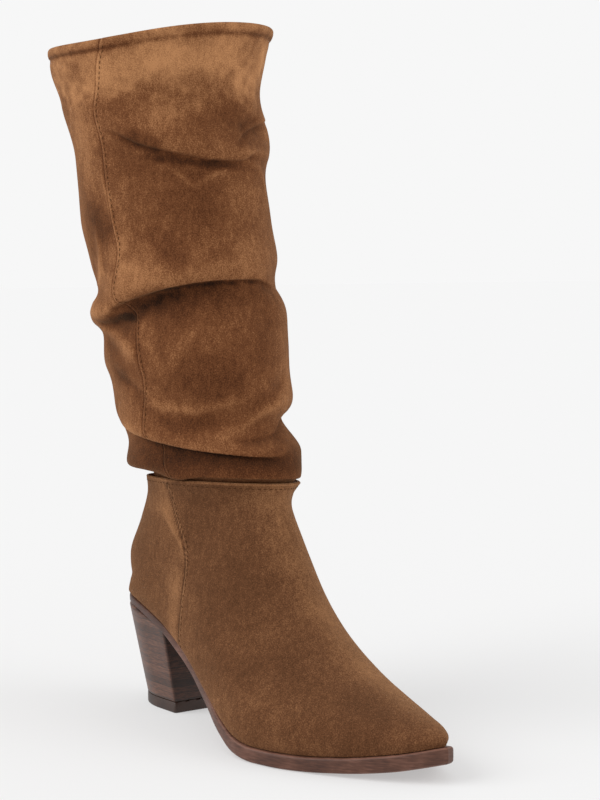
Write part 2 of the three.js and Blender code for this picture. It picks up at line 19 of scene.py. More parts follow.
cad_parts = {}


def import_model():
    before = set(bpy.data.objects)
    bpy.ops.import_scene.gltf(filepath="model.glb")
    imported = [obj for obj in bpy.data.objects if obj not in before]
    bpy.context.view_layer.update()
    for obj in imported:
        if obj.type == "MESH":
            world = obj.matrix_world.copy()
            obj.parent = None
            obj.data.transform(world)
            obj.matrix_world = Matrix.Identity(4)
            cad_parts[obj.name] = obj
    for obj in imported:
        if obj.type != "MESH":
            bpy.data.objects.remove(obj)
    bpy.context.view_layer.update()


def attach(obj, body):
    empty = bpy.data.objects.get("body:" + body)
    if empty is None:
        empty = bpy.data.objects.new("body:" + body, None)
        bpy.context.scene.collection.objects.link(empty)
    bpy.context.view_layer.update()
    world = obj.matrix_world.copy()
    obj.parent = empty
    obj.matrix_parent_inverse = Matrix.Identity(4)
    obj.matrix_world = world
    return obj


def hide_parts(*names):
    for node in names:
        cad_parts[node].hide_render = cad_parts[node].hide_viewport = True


LOG = logging.getLogger("slouch_boot")
MM = 0.001
BODY = "root"
PAPER = "#F7F7F7"

Array = np.ndarray
Piece = bpy.types.Object
Material = bpy.types.Material
Tree = bpy.types.NodeTree
Socket = bpy.types.NodeSocket
Inputs = dict[str | int, object]


# Sizes shared with the solids, in mm.
SOLE_LENGTH = 260.8
SOLE_WIDTH = 84.6
SOLE_THICKNESS = 7.6
EDGE_ROUND = 1.3
SEAT_BACK = -36.4
HEEL_HEIGHT = 57.8
HEEL_SETBACK = 1.2
HEEL_TOP_LENGTH = 57.7
HEEL_FOOT_LENGTH = 46
HEEL_FOOT_WIDTH = 40.6
TOP_LIFT = 6
GAP = 0.3
UPPER_WALL = 1.9
SEAM_STEP = 0.6
WELT_BACK = 0.9
WELT_FRONT = 2.2
INSOLE_THICKNESS = 2.4
ANKLE_RISE = 70.8
ANKLE_OVERLAP = 6.6
ANKLE_LIFT = 4.2
SHAFT_HEIGHT = 248
SHAFT_WALL = 1.7
COLLAR_LENGTH = 134
COLLAR_WIDTH = 118.8
COLLAR_ROLL = 7
COLLAR_RISE_FRONT = 3.4
COLLAR_RISE_INNER = 2.6
COLLAR_DIP = 4.2
FOLD_SIZE = 10
SOLE_MIDDLE = SEAT_BACK + SOLE_LENGTH / 2
ANKLE_HEIGHT = HEEL_HEIGHT + ANKLE_RISE
SHAFT_FOOT = ANKLE_HEIGHT - ANKLE_OVERLAP

# Numbers of the dressing alone: the leg's mean radius in mm, and steps along the sole's side.
SHAFT_RADIUS = 52
OUTLINE_STEPS = 130
# A fold's wave: what brings its top to one, its hang, and its painted light and shade with some wear, lighter
# over the lip and darker in the tuck.
WAVE_TOP, WAVE_SAG, WAVE_SHADE_AND_WEAR = 1.65, 0.62, 0.042
# Half height in mm over which a lip turns into its trough, the painted highlight on a lip, the painted shade
# in the trough under it, and the painted highlight on a ridge that turns to painted shade in a trough.
LIP_TURN, LIP_HIGHLIGHT, TUCK_SHADE, RIDGE_LIGHT_AND_SHADE = 1.3, 0.1, 0.55, 0.45


class Table:
    """A short table of named columns, read along a smooth curve with no overshoot."""

    def __init__(self, columns: str, rows: Sequence[Sequence[float]]) -> None:
        """Keep the rows under their column names.

        Args:
            columns: Column names, parted by spaces; the first is the place read along.
            rows: One sequence of numbers for each section.
        """
        names = columns.split()
        values = np.array(rows, float)
        self.place = values[:, 0]
        self.values = {name: values[:, i] for i, name in enumerate(names)}

    def read(self, column: str, at: Array | float) -> Array:
        """Read a column: between two rows a cubic whose slopes are harmonic means.

        Args:
            column: Name of the column.
            at: Places along the table.

        Returns:
            The column's value at each place, held past the ends.
        """
        x, y = self.place, self.values[column]
        slope = np.diff(y) / np.diff(x)
        tangent = np.zeros_like(y)
        tangent[0], tangent[-1] = slope[0], slope[-1]
        before, after = slope[:-1], slope[1:]
        same = before * after > 0
        total = np.where(same, before + after, 1.0)
        tangent[1:-1] = np.where(same, 2 * before * after / total, 0.0)
        at = np.clip(np.asarray(at, float), x[0], x[-1])
        i = np.clip(np.searchsorted(x, at, side="right") - 1, 0, len(x) - 2)
        width = x[i + 1] - x[i]
        t = (at - x[i]) / width
        start = y[i] * (1 + 2 * t) * (1 - t) ** 2 + tangent[i] * width * t * (1 - t) ** 2
        end = y[i + 1] * t * t * (3 - 2 * t) + tangent[i + 1] * width * t * t * (t - 1)
        return start + end


SOLE_OUTLINE = Table(
    "share outer inner",
    [
        (0, 0, 0), (0.012, -0.13, 0.13), (0.045, -0.242, 0.242), (0.1, -0.301, 0.307),
        (0.17, -0.337, 0.331), (0.26, -0.363, 0.325), (0.36, -0.39, 0.313), (0.45, -0.452, 0.331),
        (0.54, -0.532, 0.378), (0.62, -0.567, 0.42), (0.7, -0.53, 0.433), (0.78, -0.428, 0.407),
        (0.86, -0.3, 0.338), (0.93, -0.158, 0.248), (0.975, -0.047, 0.165), (0.992, 0.009, 0.125),
        (1, 0.069, 0.069),
    ],
)

SOLE_PROFILE = Table(
    "share rise thickness",
    [
        (0, 1, 0.553), (0.12, 0.936, 0.579), (0.22, 0.83, 0.632), (0.32, 0.628, 0.737),
        (0.42, 0.377, 0.842), (0.52, 0.163, 0.961), (0.6, 0.029, 1.013), (0.66, 0, 1), (0.745, 0, 1),
        (0.84, 0.028, 1.026), (0.92, 0.078, 1.092), (1, 0.17, 1.105),
    ],
)

SOLE_EDGE = Table(
    "share inset",
    [
        (0, 1.3), (0.03, 0.75), (0.13, 0.12), (0.3, 0.02), (0.55, 0), (0.74, 0.02), (0.87, 0.14),
        (0.96, 0.6), (1, 1.1),
    ],
)

FOOT_SECTIONS = Table(
    "at foot_x foot_z crest_x crest_z outer inner ridge belly round",
    [
        (0, 0.985, 0, 0.9853, 0.158, 0.024, 0.02, 0.073, 0.4, 2),
        (0.02, 0.9795, 0, 0.981, 0.17, 0.058, 0.044, 0.073, 0.36, 2),
        (0.05, 0.9642, 0, 0.9695, 0.184, 0.108, 0.088, 0.073, 0.34, 1.95),
        (0.1, 0.9305, 0, 0.942, 0.202, 0.182, 0.158, 0.071, 0.33, 1.88),
        (0.17, 0.8782, 0, 0.8974, 0.224, 0.272, 0.244, 0.061, 0.32, 1.8),
        (0.25, 0.8067, 0, 0.8336, 0.258, 0.376, 0.348, 0.047, 0.31, 1.74),
        (0.33, 0.7147, 0, 0.7607, 0.311, 0.47, 0.433, 0.035, 0.32, 1.7),
        (0.41, 0.6112, 0, 0.6879, 0.392, 0.504, 0.461, 0.031, 0.34, 1.7),
        (0.49, 0.4962, 0, 0.6189, 0.498, 0.468, 0.437, 0.033, 0.36, 1.72),
        (0.57, 0.3696, 0, 0.5637, 0.622, 0.426, 0.409, 0.038, 0.38, 1.78),
        (0.65, 0.2431, 0, 0.5253, 0.747, 0.395, 0.392, 0.045, 0.4, 1.84),
        (0.73, 0.1281, 0, 0.5, 0.844, 0.376, 0.378, 0.047, 0.42, 1.9),
        (0.8, 0.0437, 0, 0.4847, 0.905, 0.364, 0.366, 0.047, 0.44, 1.96),
        (0.85, 0.0084, 0.028, 0.477, 0.936, 0.355, 0.362, 0.047, 0.45, 2),
        (0.9, 0.0015, 0.24, 0.4732, 0.961, 0.355, 0.366, 0.047, 0.46, 2),
        (0.95, 0.0337, 0.565, 0.4724, 0.98, 0.366, 0.378, 0.047, 0.47, 2),
        (0.98, 0.0629, 0.805, 0.4739, 0.991, 0.39, 0.402, 0.047, 0.49, 2),
        (1, 0.0675, 0.927, 0.477, 1, 0.418, 0.426, 0.047, 0.5, 2),
    ],
)

COUNTER_SEAM = Table(
    "height outer inner",
    [
        (0.288, 0.339, 0.224), (0.342, 0.332, 0.224), (0.428, 0.335, 0.224), (0.534, 0.334, 0.224),
        (0.614, 0.332, 0.226), (0.684, 0.326, 0.23), (0.747, 0.311, 0.235), (0.809, 0.293, 0.24),
        (0.879, 0.278, 0.245), (0.945, 0.27, 0.25), (1.011, 0.266, 0.255),
    ],
)

SHAFT_SECTIONS = Table(
    "level lean_x lean_y flare_x flare_y",
    [
        (0, -0.0048, 0, -0.355, -0.18),
        (0.02, -0.0016, 0, -0.161, -0.07),
        (0.03, -0.002, 0, -0.03, 0),
        (0.042, -0.0045, -0.0006, 0.24, 0.14),
        (0.06, -0.0129, -0.0024, 0.37, 0.235),
        (0.105, -0.025, -0.0056, 0.394, 0.297),
        (0.161, -0.0569, -0.0121, 0.265, 0.297),
        (0.234, -0.0609, -0.0161, 0.419, 0.422),
        (0.331, -0.079, -0.0202, 0.581, 0.555),
        (0.415, -0.0935, -0.0262, 0.523, 0.555),
        (0.492, -0.1032, -0.0282, 0.394, 0.555),
        (0.605, -0.1274, -0.0343, 0.471, 0.625),
        (0.738, -0.1294, -0.0423, 0.497, 0.672),
        (0.867, -0.1556, -0.0524, 0.561, 0.727),
        (0.944, -0.1516, -0.0585, 0.845, 0.906),
        (1, -0.1395, -0.0605, 1, 1),
    ],
)

COLLAR_RIM = Table(
    "below out",
    [
        (0, 0), (0.17, 0.14), (0.49, 0.2), (0.8, 0.13), (1.06, -0.1), (1.71, 0),
    ],
)

SHAFT_SEAMS = Table(
    "height outer inner",
    [
        (122, -80, 86), (145, -80, 88), (165, -81, 91), (190, -75, 94), (215, -76, 98), (235, -83, 101),
        (260, -76, 99), (290, -79, 92), (323, -77, 82), (353, -69, 75), (372, -64, 72),
    ],
)


@dataclass(frozen=True)
class Fold:
    """One fold of the slouched shaft: a lip that hangs over a tuck.

    turn is the angle of its middle (0 front, 90 inner side) and spread its half width;
    level is its share of the shaft's height, slope and bow are its rise per 100 degrees
    and per 100 degrees squared, reach is its half height, out and tuck how far lip and
    tuck stand from the skin, sag how far the lip hangs; all of these by FOLD_SIZE.
    """

    turn: float
    spread: float
    level: float
    slope: float
    bow: float
    reach: float
    out: float
    tuck: float
    sag: float

    def shift(self, turn: Array, height: Array) -> Array:
        """Movement of the skin: a wave s * exp(-s * s / 2) of the distance s from the fold's line.

        Above the line the skin moves out and down, below it in and up, and the wave
        fades towards the fold's two ends.

        Args:
            turn: Angles in degrees.
            height: Heights in mm.

        Returns:
            Outward and upward movement, and the painted light and shade with some wear: lighter over the lip,
            darker in the tuck.
        """
        offset = wrapped(turn, self.turn)
        fade = np.maximum(1 - (offset / self.spread) ** 2, 0) ** 1.5
        climb = (self.slope + self.bow * offset / 100) * offset / 100
        away = height - (SHAFT_FOOT + self.level * SHAFT_HEIGHT + FOLD_SIZE * climb)
        away = away / (self.reach * FOLD_SIZE)
        wave = WAVE_TOP * FOLD_SIZE * away * np.exp(-0.5 * away * away) * fade
        out = wave * np.where(away > 0, self.out, self.tuck)
        # The third value is painted light and shade with some wear: lighter over the lip, darker in the tuck.
        return np.array([out, -WAVE_SAG * self.sag * wave, WAVE_SHADE_AND_WEAR * (self.out + self.tuck) * wave])


FOLDS = tuple(
    Fold(*row)
    for row in (
        (-122, 60, 0.056, 0, 0, 0.5, 0.34, 0.04, 0.5),
        (115, 95, 0.093, 0, -0.3, 0.8, 0.32, 0.18, 0.46),
        (-60, 88, 0.117, -1.2, 0.6, 0.7, 0.34, 0.3, 0.5),
        (60, 90, 0.188, 0.4, -0.4, 0.8, 0.24, 0.36, 0.4),
        (180, 62, 0.25, 0.4, 0.4, 0.7, 0.3, 0.32, 0.38),
        (-42, 80, 0.46, 1.6, -2.25, 1.05, 0.5, 0.5, 0.8),
        (112, 64, 0.331, 0.8, 0.4, 0.9, 0.36, 0.38, 0.58),
        (205, 70, 0.359, 0.8, 0, 0.8, 0.44, 0.32, 0.44),
        (205, 60, 0.468, -0.6, 0, 0.9, 0.06, 0.3, 0.1),
        (85, 80, 0.48, -0.8, 0.3, 1, 0.26, 0.26, 0.26),
        (-30, 62, 0.726, -1.9, 4, 1.1, 0.24, 0.28, 0.25),
        (8, 46, 0.839, -1.6, 0, 0.9, 0.18, 0.26, 0.16),
        (135, 80, 0.702, -0.5, 0, 1.6, 0.16, 0.18, 0.08),
        (58, 46, 0.445, 0, 0, 1, 0, -0.3, 0),
        (58, 40, 0.738, 0, 0, 1.1, 0.16, 0.24, 0.1),
        (-122, 42, 0.425, 0, 0, 0.8, -0.25, 0, 0),
    )
)


class Profile(Enum):
    """Cross-section of a crease: a lip over a trough, a ridge or a trough."""

    LIP = "lip"
    RIDGE = "ridge"
    TROUGH = "trough"


@dataclass(frozen=True)
class Crease:
    """A crease laid on the shaft.

    path holds points of (turn in degrees, height in mm); rise is how far it stands out or
    in, upper and lower are its reach above and below the path, depth is the trough under
    a lip, sag how far the lip hangs and taper the degrees over which its ends fade.
    """

    kind: Profile
    path: tuple[tuple[float, float], ...]
    rise: float
    upper: float
    lower: float
    depth: float = 0.0
    sag: float = 0.0
    taper: float = 14.0

    def shift(self, turn: Array, height: Array) -> Array:
        """Movement of the skin by bell curves of the distance square to the path.

        Args:
            turn: Angles in degrees.
            height: Heights in mm.

        Returns:
            Outward and upward movement, and the painted light and shade: lighter on lips and ridges, darker
            in troughs.
        """
        path = Table("turn height", self.path)
        first, last = path.place[0], path.place[-1]
        middle = (first + last) / 2
        here = wrapped(turn, middle) + middle
        slope = (path.read("height", here + 1) - path.read("height", here - 1)) / 2
        lean = 1 / np.sqrt(1 + (slope / math.radians(SHAFT_RADIUS)) ** 2)
        away = (height - path.read("height", here)) * lean
        half = min(self.taper, (last - first) / 2) / 2
        ends = smooth(first - half, first + half, here) * (1 - smooth(last - half, last + half, here))
        over, under = hump(away, 0, self.upper), hump(away, 0, self.lower)
        if self.kind is Profile.LIP:
            above = smooth(-LIP_TURN, LIP_TURN, away)
            over, under = ends * above * over, ends * (1 - above) * under
            out = over * self.rise - under * self.depth
            # Painted highlight over the lip and painted shade in the trough under it.
            return np.array([out, -over * self.sag, LIP_HIGHLIGHT * over - TUCK_SHADE * under])
        sign = 1 if self.kind is Profile.RIDGE else -1
        hill = sign * ends * np.where(away > 0, over, under)
        # Painted highlight along a ridge, painted shade along a trough.
        return np.array([hill * self.rise, np.zeros_like(hill), RIDGE_LIGHT_AND_SHADE * hill])


LIP, RIDGE, TROUGH = Profile.LIP, Profile.RIDGE, Profile.TROUGH

CREASES = (
    # Great fold across the middle of the leg: soft at the outer seam, a slit at the front.
    Crease(LIP, ((-96, 220), (-82, 227), (-65, 231), (-43, 237), (-23, 240), (6, 240), (30, 234)),
           0.5, 7, 6, 1.6, 0.9, 20),
    Crease(TROUGH, ((-74, 219), (-60, 223), (-45, 229)), 1.2, 4, 6),
    # Roll and creases behind the outer seam.
    Crease(RIDGE, ((-134, 224), (-114, 223), (-98, 221), (-85, 222)), 1.2, 5, 4),
    Crease(TROUGH, ((-118, 217), (-98, 214), (-85, 214), (-74, 218)), 1.8, 2.5, 4),
    Crease(RIDGE, ((-116, 213), (-104, 209), (-92, 206), (-81, 202), (-75, 194)), 1.1, 2.5, 4),
    Crease(TROUGH, ((-112, 205), (-100, 200), (-88, 196)), 1.1, 4, 5),
    Crease(TROUGH, ((-104, 190), (-90, 184), (-77, 175)), 1.0, 4, 5),
    Crease(TROUGH, ((-118, 246), (-108, 250), (-98, 258)), 1.0, 5, 6),
    Crease(RIDGE, ((-112, 236), (-104, 240), (-96, 250), (-92, 262)), 0.8, 3, 3),
    # Arcs on the middle panel.
    Crease(RIDGE, ((-76, 174), (-61, 171), (-46, 170), (-30, 172), (-16, 176)), 0.8, 3, 2.4),
    Crease(TROUGH, ((-66, 166), (-50, 164), (-30, 166)), 0.6, 4, 4),
    Crease(RIDGE, ((-34, 158), (-17, 161), (-8, 164), (0, 168), (10, 172), (22, 176)), 0.9, 2.6, 2.2),
    Crease(TROUGH, ((-8, 172), (4, 176), (16, 181), (28, 186)), 1.1, 4, 4),
    # Lip above the ankle, and the roll that comes in over it from the front.
    Crease(LIP, ((-112, 160), (-99, 157), (-74, 154), (-51, 150), (-34, 148), (-18, 146), (0, 145)),
           0.6, 5, 4, 2.4, 1.2, 20),
    Crease(LIP, ((-20, 157), (-8, 156), (6, 156), (20, 158), (34, 163), (48, 169)), 0.5, 5, 3, 1.4, 0.6, 12),
    Crease(RIDGE, ((-22, 147), (-8, 145), (4, 146), (16, 149)), 0.6, 2, 2),
    Crease(LIP, ((-176, 135.5), (-128, 133.5), (-94, 132.8), (-66, 132.6)), 0.6, 7, 3, 0, 3.0, 20),
    Crease(LIP, ((-86, 132.6), (0, 132.6), (60, 132.6), (100, 133.5), (180, 135.5)), -0.5, 4, 3, 0, 2.2, 20),
    # Overhang on the upper panel, curling into a crease at the front.
    Crease(LIP, ((-66, 318), (-53, 311.5), (-39, 308), (-26, 305.3), (-11, 302.8), (7, 302.5), (20, 306)),
           0.5, 7, 4, 1.5, 0.7, 18),
    Crease(LIP, ((6, 312), (14, 316), (27, 320), (42, 324), (52, 326)), 0.6, 4, 3, 1.3, 0.5, 14),
    Crease(RIDGE, ((8, 308), (22, 307), (41, 306)), 0.8, 2.4, 2.4),
    Crease(RIDGE, ((24, 334), (31, 344), (38, 354)), 0.6, 5, 5),
    Crease(RIDGE, ((38, 326), (54, 325), (70, 324)), 0.7, 7, 9),
    # Fine wrinkles of the upper panel and the middle panel.
    Crease(RIDGE, ((-40, 297), (-31, 292), (-24, 287), (-15, 291), (-4, 296)), 0.4, 1.6, 1.8, taper=8),
    Crease(RIDGE, ((-84, 296), (-80, 284), (-77, 270), (-75, 256)), 0.4, 1.6, 1.6, taper=4),
    Crease(TROUGH, ((12, 318), (20, 322), (30, 325)), 1.0, 1.8, 1.8, taper=8),
    Crease(RIDGE, ((10, 303), (20, 300), (30, 294), (36, 284)), 0.6, 2.2, 2.2, taper=8),
    Crease(RIDGE, ((-56, 196), (-44, 205), (-34, 212)), 0.4, 3, 3, taper=10),
    # Slack creases of the inner side and back.
    Crease(LIP, ((62, 208), (84, 206), (108, 204), (130, 208)), 0.7, 6, 5, 1.4, 1.0, 22),
    Crease(LIP, ((96, 182), (116, 178), (140, 177), (160, 180)), 0.7, 5, 4, 1.4, 1.0, 22),
    Crease(LIP, ((60, 174), (76, 172), (92, 172), (106, 174)), 0.6, 5, 4, 1.2, 0.8, 18),
    Crease(RIDGE, ((66, 222), (84, 226), (104, 224), (124, 218)), 0.9, 4, 4),
    Crease(TROUGH, ((76, 246), (94, 243), (116, 246)), 0.9, 5, 5),
    Crease(LIP, ((150, 204), (176, 200), (204, 202), (226, 208)), 0.7, 5, 5, 1.4, 0.8, 22),
    Crease(TROUGH, ((136, 232), (160, 228), (184, 230)), 1.0, 5, 5),
    Crease(RIDGE, ((150, 160), (172, 156), (196, 156), (214, 160)), 1.0, 4, 5),
    Crease(TROUGH, ((100, 300), (124, 292), (150, 288)), 0.7, 8, 8),
)


@dataclass(frozen=True)
class Patch:
    """A patch of the nap's colour, darker or lighter than what lies round it; some are brushed nap, some
    painted light and some painted shade.

    turn and height are its middle, across and up its half sizes in mm, lean its angle
    from level in degrees and tone its lightness, negative for dark.
    """

    turn: float
    height: float
    across: float
    up: float
    lean: float
    tone: float

    def shade(self, turn: Array, height: Array, ragged: Array) -> Array:
        """Lightness of the patch: a soft ellipse in the distance from its middle.

        Args:
            turn: Angles in degrees.
            height: Heights in mm.
            ragged: Unevenness that is added to the distance.

        Returns:
            One number for each place.
        """
        across = np.radians(wrapped(turn, self.turn)) * SHAFT_RADIUS
        up = height - self.height
        lean = math.radians(self.lean)
        u = (across * math.cos(lean) + up * math.sin(lean)) / self.across
        v = (up * math.cos(lean) - across * math.sin(lean)) / self.up
        return self.tone * (1 - smooth(0.15, 1.4, np.sqrt(u * u + v * v) + ragged))


# Painted shade: the narrow dark bands under the lips, at 300 mm under the overhang, at 216, 223 and 234 mm
# under the great fold and its roll, and at 148 mm above the ankle. The light band at 354 mm and the broader
# patches stand partly for brushed nap and partly for how light falls on the leg.
PATCHES = tuple(
    Patch(*row)
    for row in (
        (-30, 354, 96, 17, 0, 1.2), (-42, 349, 26, 5, 30, 0.4), (-16, 344, 9, 5, 0, -0.6),
        (-40, 339, 34, 4, 12, -0.2), (-60, 327, 16, 9, -30, -0.4), (-34, 327, 20, 7, 10, 0.35),
        (-52, 312, 14, 6, -30, -0.9), (-20, 300, 34, 3.0, -5, -0.9), (-94, 320, 12, 34, 0, 0.6),
        (-90, 270, 14, 14, 0, -0.8), (-103, 246, 9, 10, 0, 0.45), (-72, 262, 5, 24, -10, 0.35),
        (-46, 258, 15, 8, -30, -0.55), (-62, 247, 16, 6, 0, 0.4), (4, 285, 24, 14, 0, 0.25),
        (14, 254, 16, 12, 0, 0.35), (-26, 276, 22, 13, 20, -0.25), (-62, 223, 24, 5, 16, -0.5),
        (-28, 234, 34, 3, 5, -1.0), (-92, 216, 16, 3, 0, -0.9), (-24, 208, 14, 6, 30, 0.25),
        (-36, 200, 60, 30, 0, -0.25), (-34, 227, 48, 8, 5, -0.35), (-34, 184, 26, 9, 10, -0.2),
        (-66, 204, 6, 24, 0, 0.35), (-88, 199, 9, 6, 0, 0.6), (-95, 187, 7, 5, 0, -0.5),
        (-72, 212, 4, 12, 20, 0.4), (-36, 160, 58, 7, -5, -0.3), (-2, 152, 14, 3, 20, 0.3),
        (-96, 160, 12, 6, 0, 0.45), (-64, 147.8, 36, 3, -8.6, -1.1), (30, 196, 9, 24, 0, 0.3),
        (96, 340, 40, 16, 0, 0.35), (80, 290, 30, 20, 20, -0.3), (150, 300, 30, 24, 0, 0.25),
        (100, 190, 40, 20, 0, -0.35),
    )
)


def smooth(start: float | Array, end: float | Array, value: Array) -> Array:
    """Rise from 0 to 1 between start and end, level at both ends."""
    t = np.clip((value - start) / (end - start), 0.0, 1.0)
    return t * t * (3 - 2 * t)


def hump(value: Array, middle: float, width: float) -> Array:
    """Bell curve of height 1 about a middle."""
    return np.exp(-(((value - middle) / width) ** 2))


def wrapped(turn: Array | float, about: float) -> Array:
    """Angle from another one, between -180 and 180 degrees."""
    return (turn - about + 540) % 360 - 180


def unit(vectors: Array) -> Array:
    """The vectors scaled to length one."""
    return vectors / np.maximum(np.linalg.norm(vectors, axis=-1, keepdims=True), 1e-9)


def lerp(start: Array | float, end: Array | float, share: Array | float) -> Array:
    """Mix of two values by a share."""
    return start + (end - start) * share


def share_at(x: Array) -> Array:
    """Share of the sole's length at x."""
    return np.clip((np.asarray(x) - SEAT_BACK) / SOLE_LENGTH, 0.0, 1.0)


def place_at(share: Array) -> Array:
    """Place in x of a share of the sole's length."""
    return SEAT_BACK + SOLE_LENGTH * share


def sole_bottom(x: Array) -> Array:
    """Height of the sole's underside at x."""
    return HEEL_HEIGHT * SOLE_PROFILE.read("rise", share_at(x))


def sole_top(x: Array) -> Array:
    """Height of the sole's top at x."""
    return sole_bottom(x) + SOLE_THICKNESS * SOLE_PROFILE.read("thickness", share_at(x))


def seam_lift(side: Array) -> Array:
    """How far the ankle seam is raised, from side -1 on the outer side to 1 on the inner."""
    return ANKLE_LIFT * (0.55 - 0.45 * np.clip(side, -1, 1))


def sole_edge(side: str, share: Array) -> Array:
    """Place in y of the sole's outer or inner edge at a share of its length."""
    return SOLE_WIDTH * SOLE_OUTLINE.read(side, share)


def skin_normals(points: Array) -> Array:
    """Unit normals of a grid closed round its columns: steps round crossed with steps up."""
    around = np.roll(points, -1, axis=1) - np.roll(points, 1, axis=1)
    return unit(np.cross(around, np.gradient(points, axis=0)))


def roll_over(edge: Array, normal: Array, steps: Sequence[tuple[float, float]]) -> Array:
    """Rings from a top edge over to the inside, each moved inward and up by its step in mm."""
    inward, upward = np.array(steps).T[:, :, None, None]
    return edge - normal * inward + np.array([0, 0, 1]) * upward


def wave_noise(turn: Array, height: Array, seed: int, size: float, count: int = 14) -> Array:
    """Gentle unevenness: a sum of sine waves in random directions.

    Args:
        turn: Angle round the piece in degrees; the sum repeats after a full turn.
        height: Height in mm.
        seed: Seed of the directions and phases.
        size: Typical wavelength in mm.
        count: Number of waves.

    Returns:
        Values of about -1 to 1.
    """
    rng = np.random.default_rng(seed)
    total = np.zeros(np.broadcast(turn, height).shape)
    for _ in range(count):
        rounds = rng.integers(0, max(2, int(330 / size)))
        climb = rng.uniform(-1, 1) * 2 * math.pi / size
        phase = rng.uniform(0, 2 * math.pi)
        total += np.sin(np.radians(turn) * rounds + height * climb + phase)
    return total / math.sqrt(count) * 0.7


class Closing(Enum):
    """How the two ends of a stack of rings are closed."""

    JOINED = "joined"
    CAPPED = "capped"


def add_mesh(name: str, points: Array, faces: list[list[int]]) -> Piece:
    """Put a smooth mesh on an object at the origin.

    Args:
        name: Name of the piece.
        points: Points in mm, 3 numbers along the last axis.
        faces: Vertex indices of each face.

    Returns:
        The object, in metres.
    """
    mesh = bpy.data.meshes.new(name)
    mesh.from_pydata((points.reshape(-1, 3) * MM).tolist(), [], faces)
    mesh.update()
    mesh.shade_smooth()
    piece = bpy.data.objects.new(name, mesh)
    bpy.context.scene.collection.objects.link(piece)
    return piece


def ring_quads(rings: int, columns: int, joined: bool = False) -> Array:
    """Faces of a stack of closed rings, as faces by four vertex indices.

    Args:
        rings: Number of rings.
        columns: Points in each ring.
        joined: Whether the last ring meets the first.

    Returns:
        The quads between each ring and the next.
    """
    low = np.arange(rings if joined else rings - 1)[:, None] * columns
    high = (low + columns) % (rings * columns)
    here = np.arange(columns)[None, :]
    beside = (here + 1) % columns
    corners = [low + here, low + beside, high + beside, high + here]
    return np.stack(corners, axis=-1).reshape(-1, 4)


def ring_mesh(name: str, points: Array, closing: Closing) -> Piece:
    """Make a closed mesh from a stack of rings, with its faces pointing out.

    The tetrahedra between the middle and the quads sum to a volume; where it is
    negative, the faces are turned over.

    Args:
        name: Name of the piece.
        points: Rings by points by 3, in mm; every ring is closed.
        closing: Whether the last ring meets the first or both ends are capped.

    Returns:
        The object, at the origin, in metres.
    """
    rows, columns, _ = points.shape
    quads = ring_quads(rows, columns, closing is Closing.JOINED)
    faces = quads.tolist()
    if closing is Closing.CAPPED:
        faces += cap_faces(columns, 0, True) + cap_faces(columns, (rows - 1) * columns, False)
    a, b, c, d = (points.reshape(-1, 3)[quads[:, k]] - points.mean(axis=(0, 1)) for k in range(4))
    if np.sum(a * (np.cross(b, c) + np.cross(c, d))) < 0:
        faces = [face[::-1] for face in faces]
    return add_mesh(name, points, faces)


def cap_faces(columns: int, offset: int, flip: bool) -> list[list[int]]:
    """Close a ring that is mirrored about its first point with a strip of quads.

    Args:
        columns: Points in the ring, even.
        offset: Index of the ring's first point.
        flip: Whether to turn the faces over.

    Returns:
        Faces as lists of vertex indices.
    """
    half = columns // 2
    faces = [[0, 1, columns - 1], [half - 1, half, half + 1]]
    faces += [[k, k + 1, columns - k - 1, columns - k] for k in range(1, half - 1)]
    shifted = [[offset + k for k in face] for face in faces]
    return [face[::-1] for face in shifted] if flip else shifted


def set_attribute(piece: Piece, name: str, values: Array) -> None:
    """Store one number for each vertex of a piece, for its material to read."""
    attribute = piece.data.attributes.new(name, "FLOAT", "POINT")
    attribute.data.foreach_set("value", np.ascontiguousarray(values.reshape(-1), dtype=np.float32))


def linear(colour: str) -> tuple[float, float, float, float]:
    """Turn an sRGB colour into linear light.

    Args:
        colour: Hex value such as '#8A5F3C'.

    Returns:
        Red, green, blue and alpha.
    """
    parts = [int(colour[k : k + 2], 16) / 255 for k in (1, 3, 5)]
    low = [p / 12.92 if p <= 0.04045 else ((p + 0.055) / 1.055) ** 2.4 for p in parts]
    return (low[0], low[1], low[2], 1.0)


def add_node(
    tree: Tree,
    kind: str,
    inputs: Inputs | None = None,
    output: str | int = 0,
    stops: Sequence[tuple[float, str]] = (),
    **settings: object,
) -> Socket:
    """Add a node, set its properties and fill or link its inputs.

    Args:
        tree: Node tree that the node goes into.
        kind: Blender's name of the node's type, after ShaderNode.
        inputs: Value or output socket for each input, by name or number.
        output: Name or number of the wanted output.
        stops: Place and hex colour of each stop of a colour ramp.
        **settings: Properties of the node.

    Returns:
        The wanted output.
    """
    node = tree.nodes.new(f"ShaderNode{kind}")
    for key, value in settings.items():
        setattr(node, key, value)
    for key, value in (inputs or {}).items():
        if isinstance(value, Socket):
            tree.links.new(value, node.inputs[key])
        else:
            node.inputs[key].default_value = value
    for _ in stops[2:]:
        node.color_ramp.elements.new(0.5)
    for element, (place, colour) in zip(node.color_ramp.elements if stops else (), stops):
        element.position, element.color = place, linear(colour)
    return node.outputs[output]


def weigh(
    tree: Tree, start: Socket | float, *parts: tuple[Socket, float]
) -> Socket:
    """Add sockets by their weights.

    Args:
        tree: Node tree of the sockets.
        start: What the sum begins with.
        *parts: Each socket with its weight.

    Returns:
        The sum.
    """
    for socket, weight in parts:
        start = add_node(tree, "Math", {0: socket, 1: weight, 2: start}, operation="MULTIPLY_ADD")
    return start


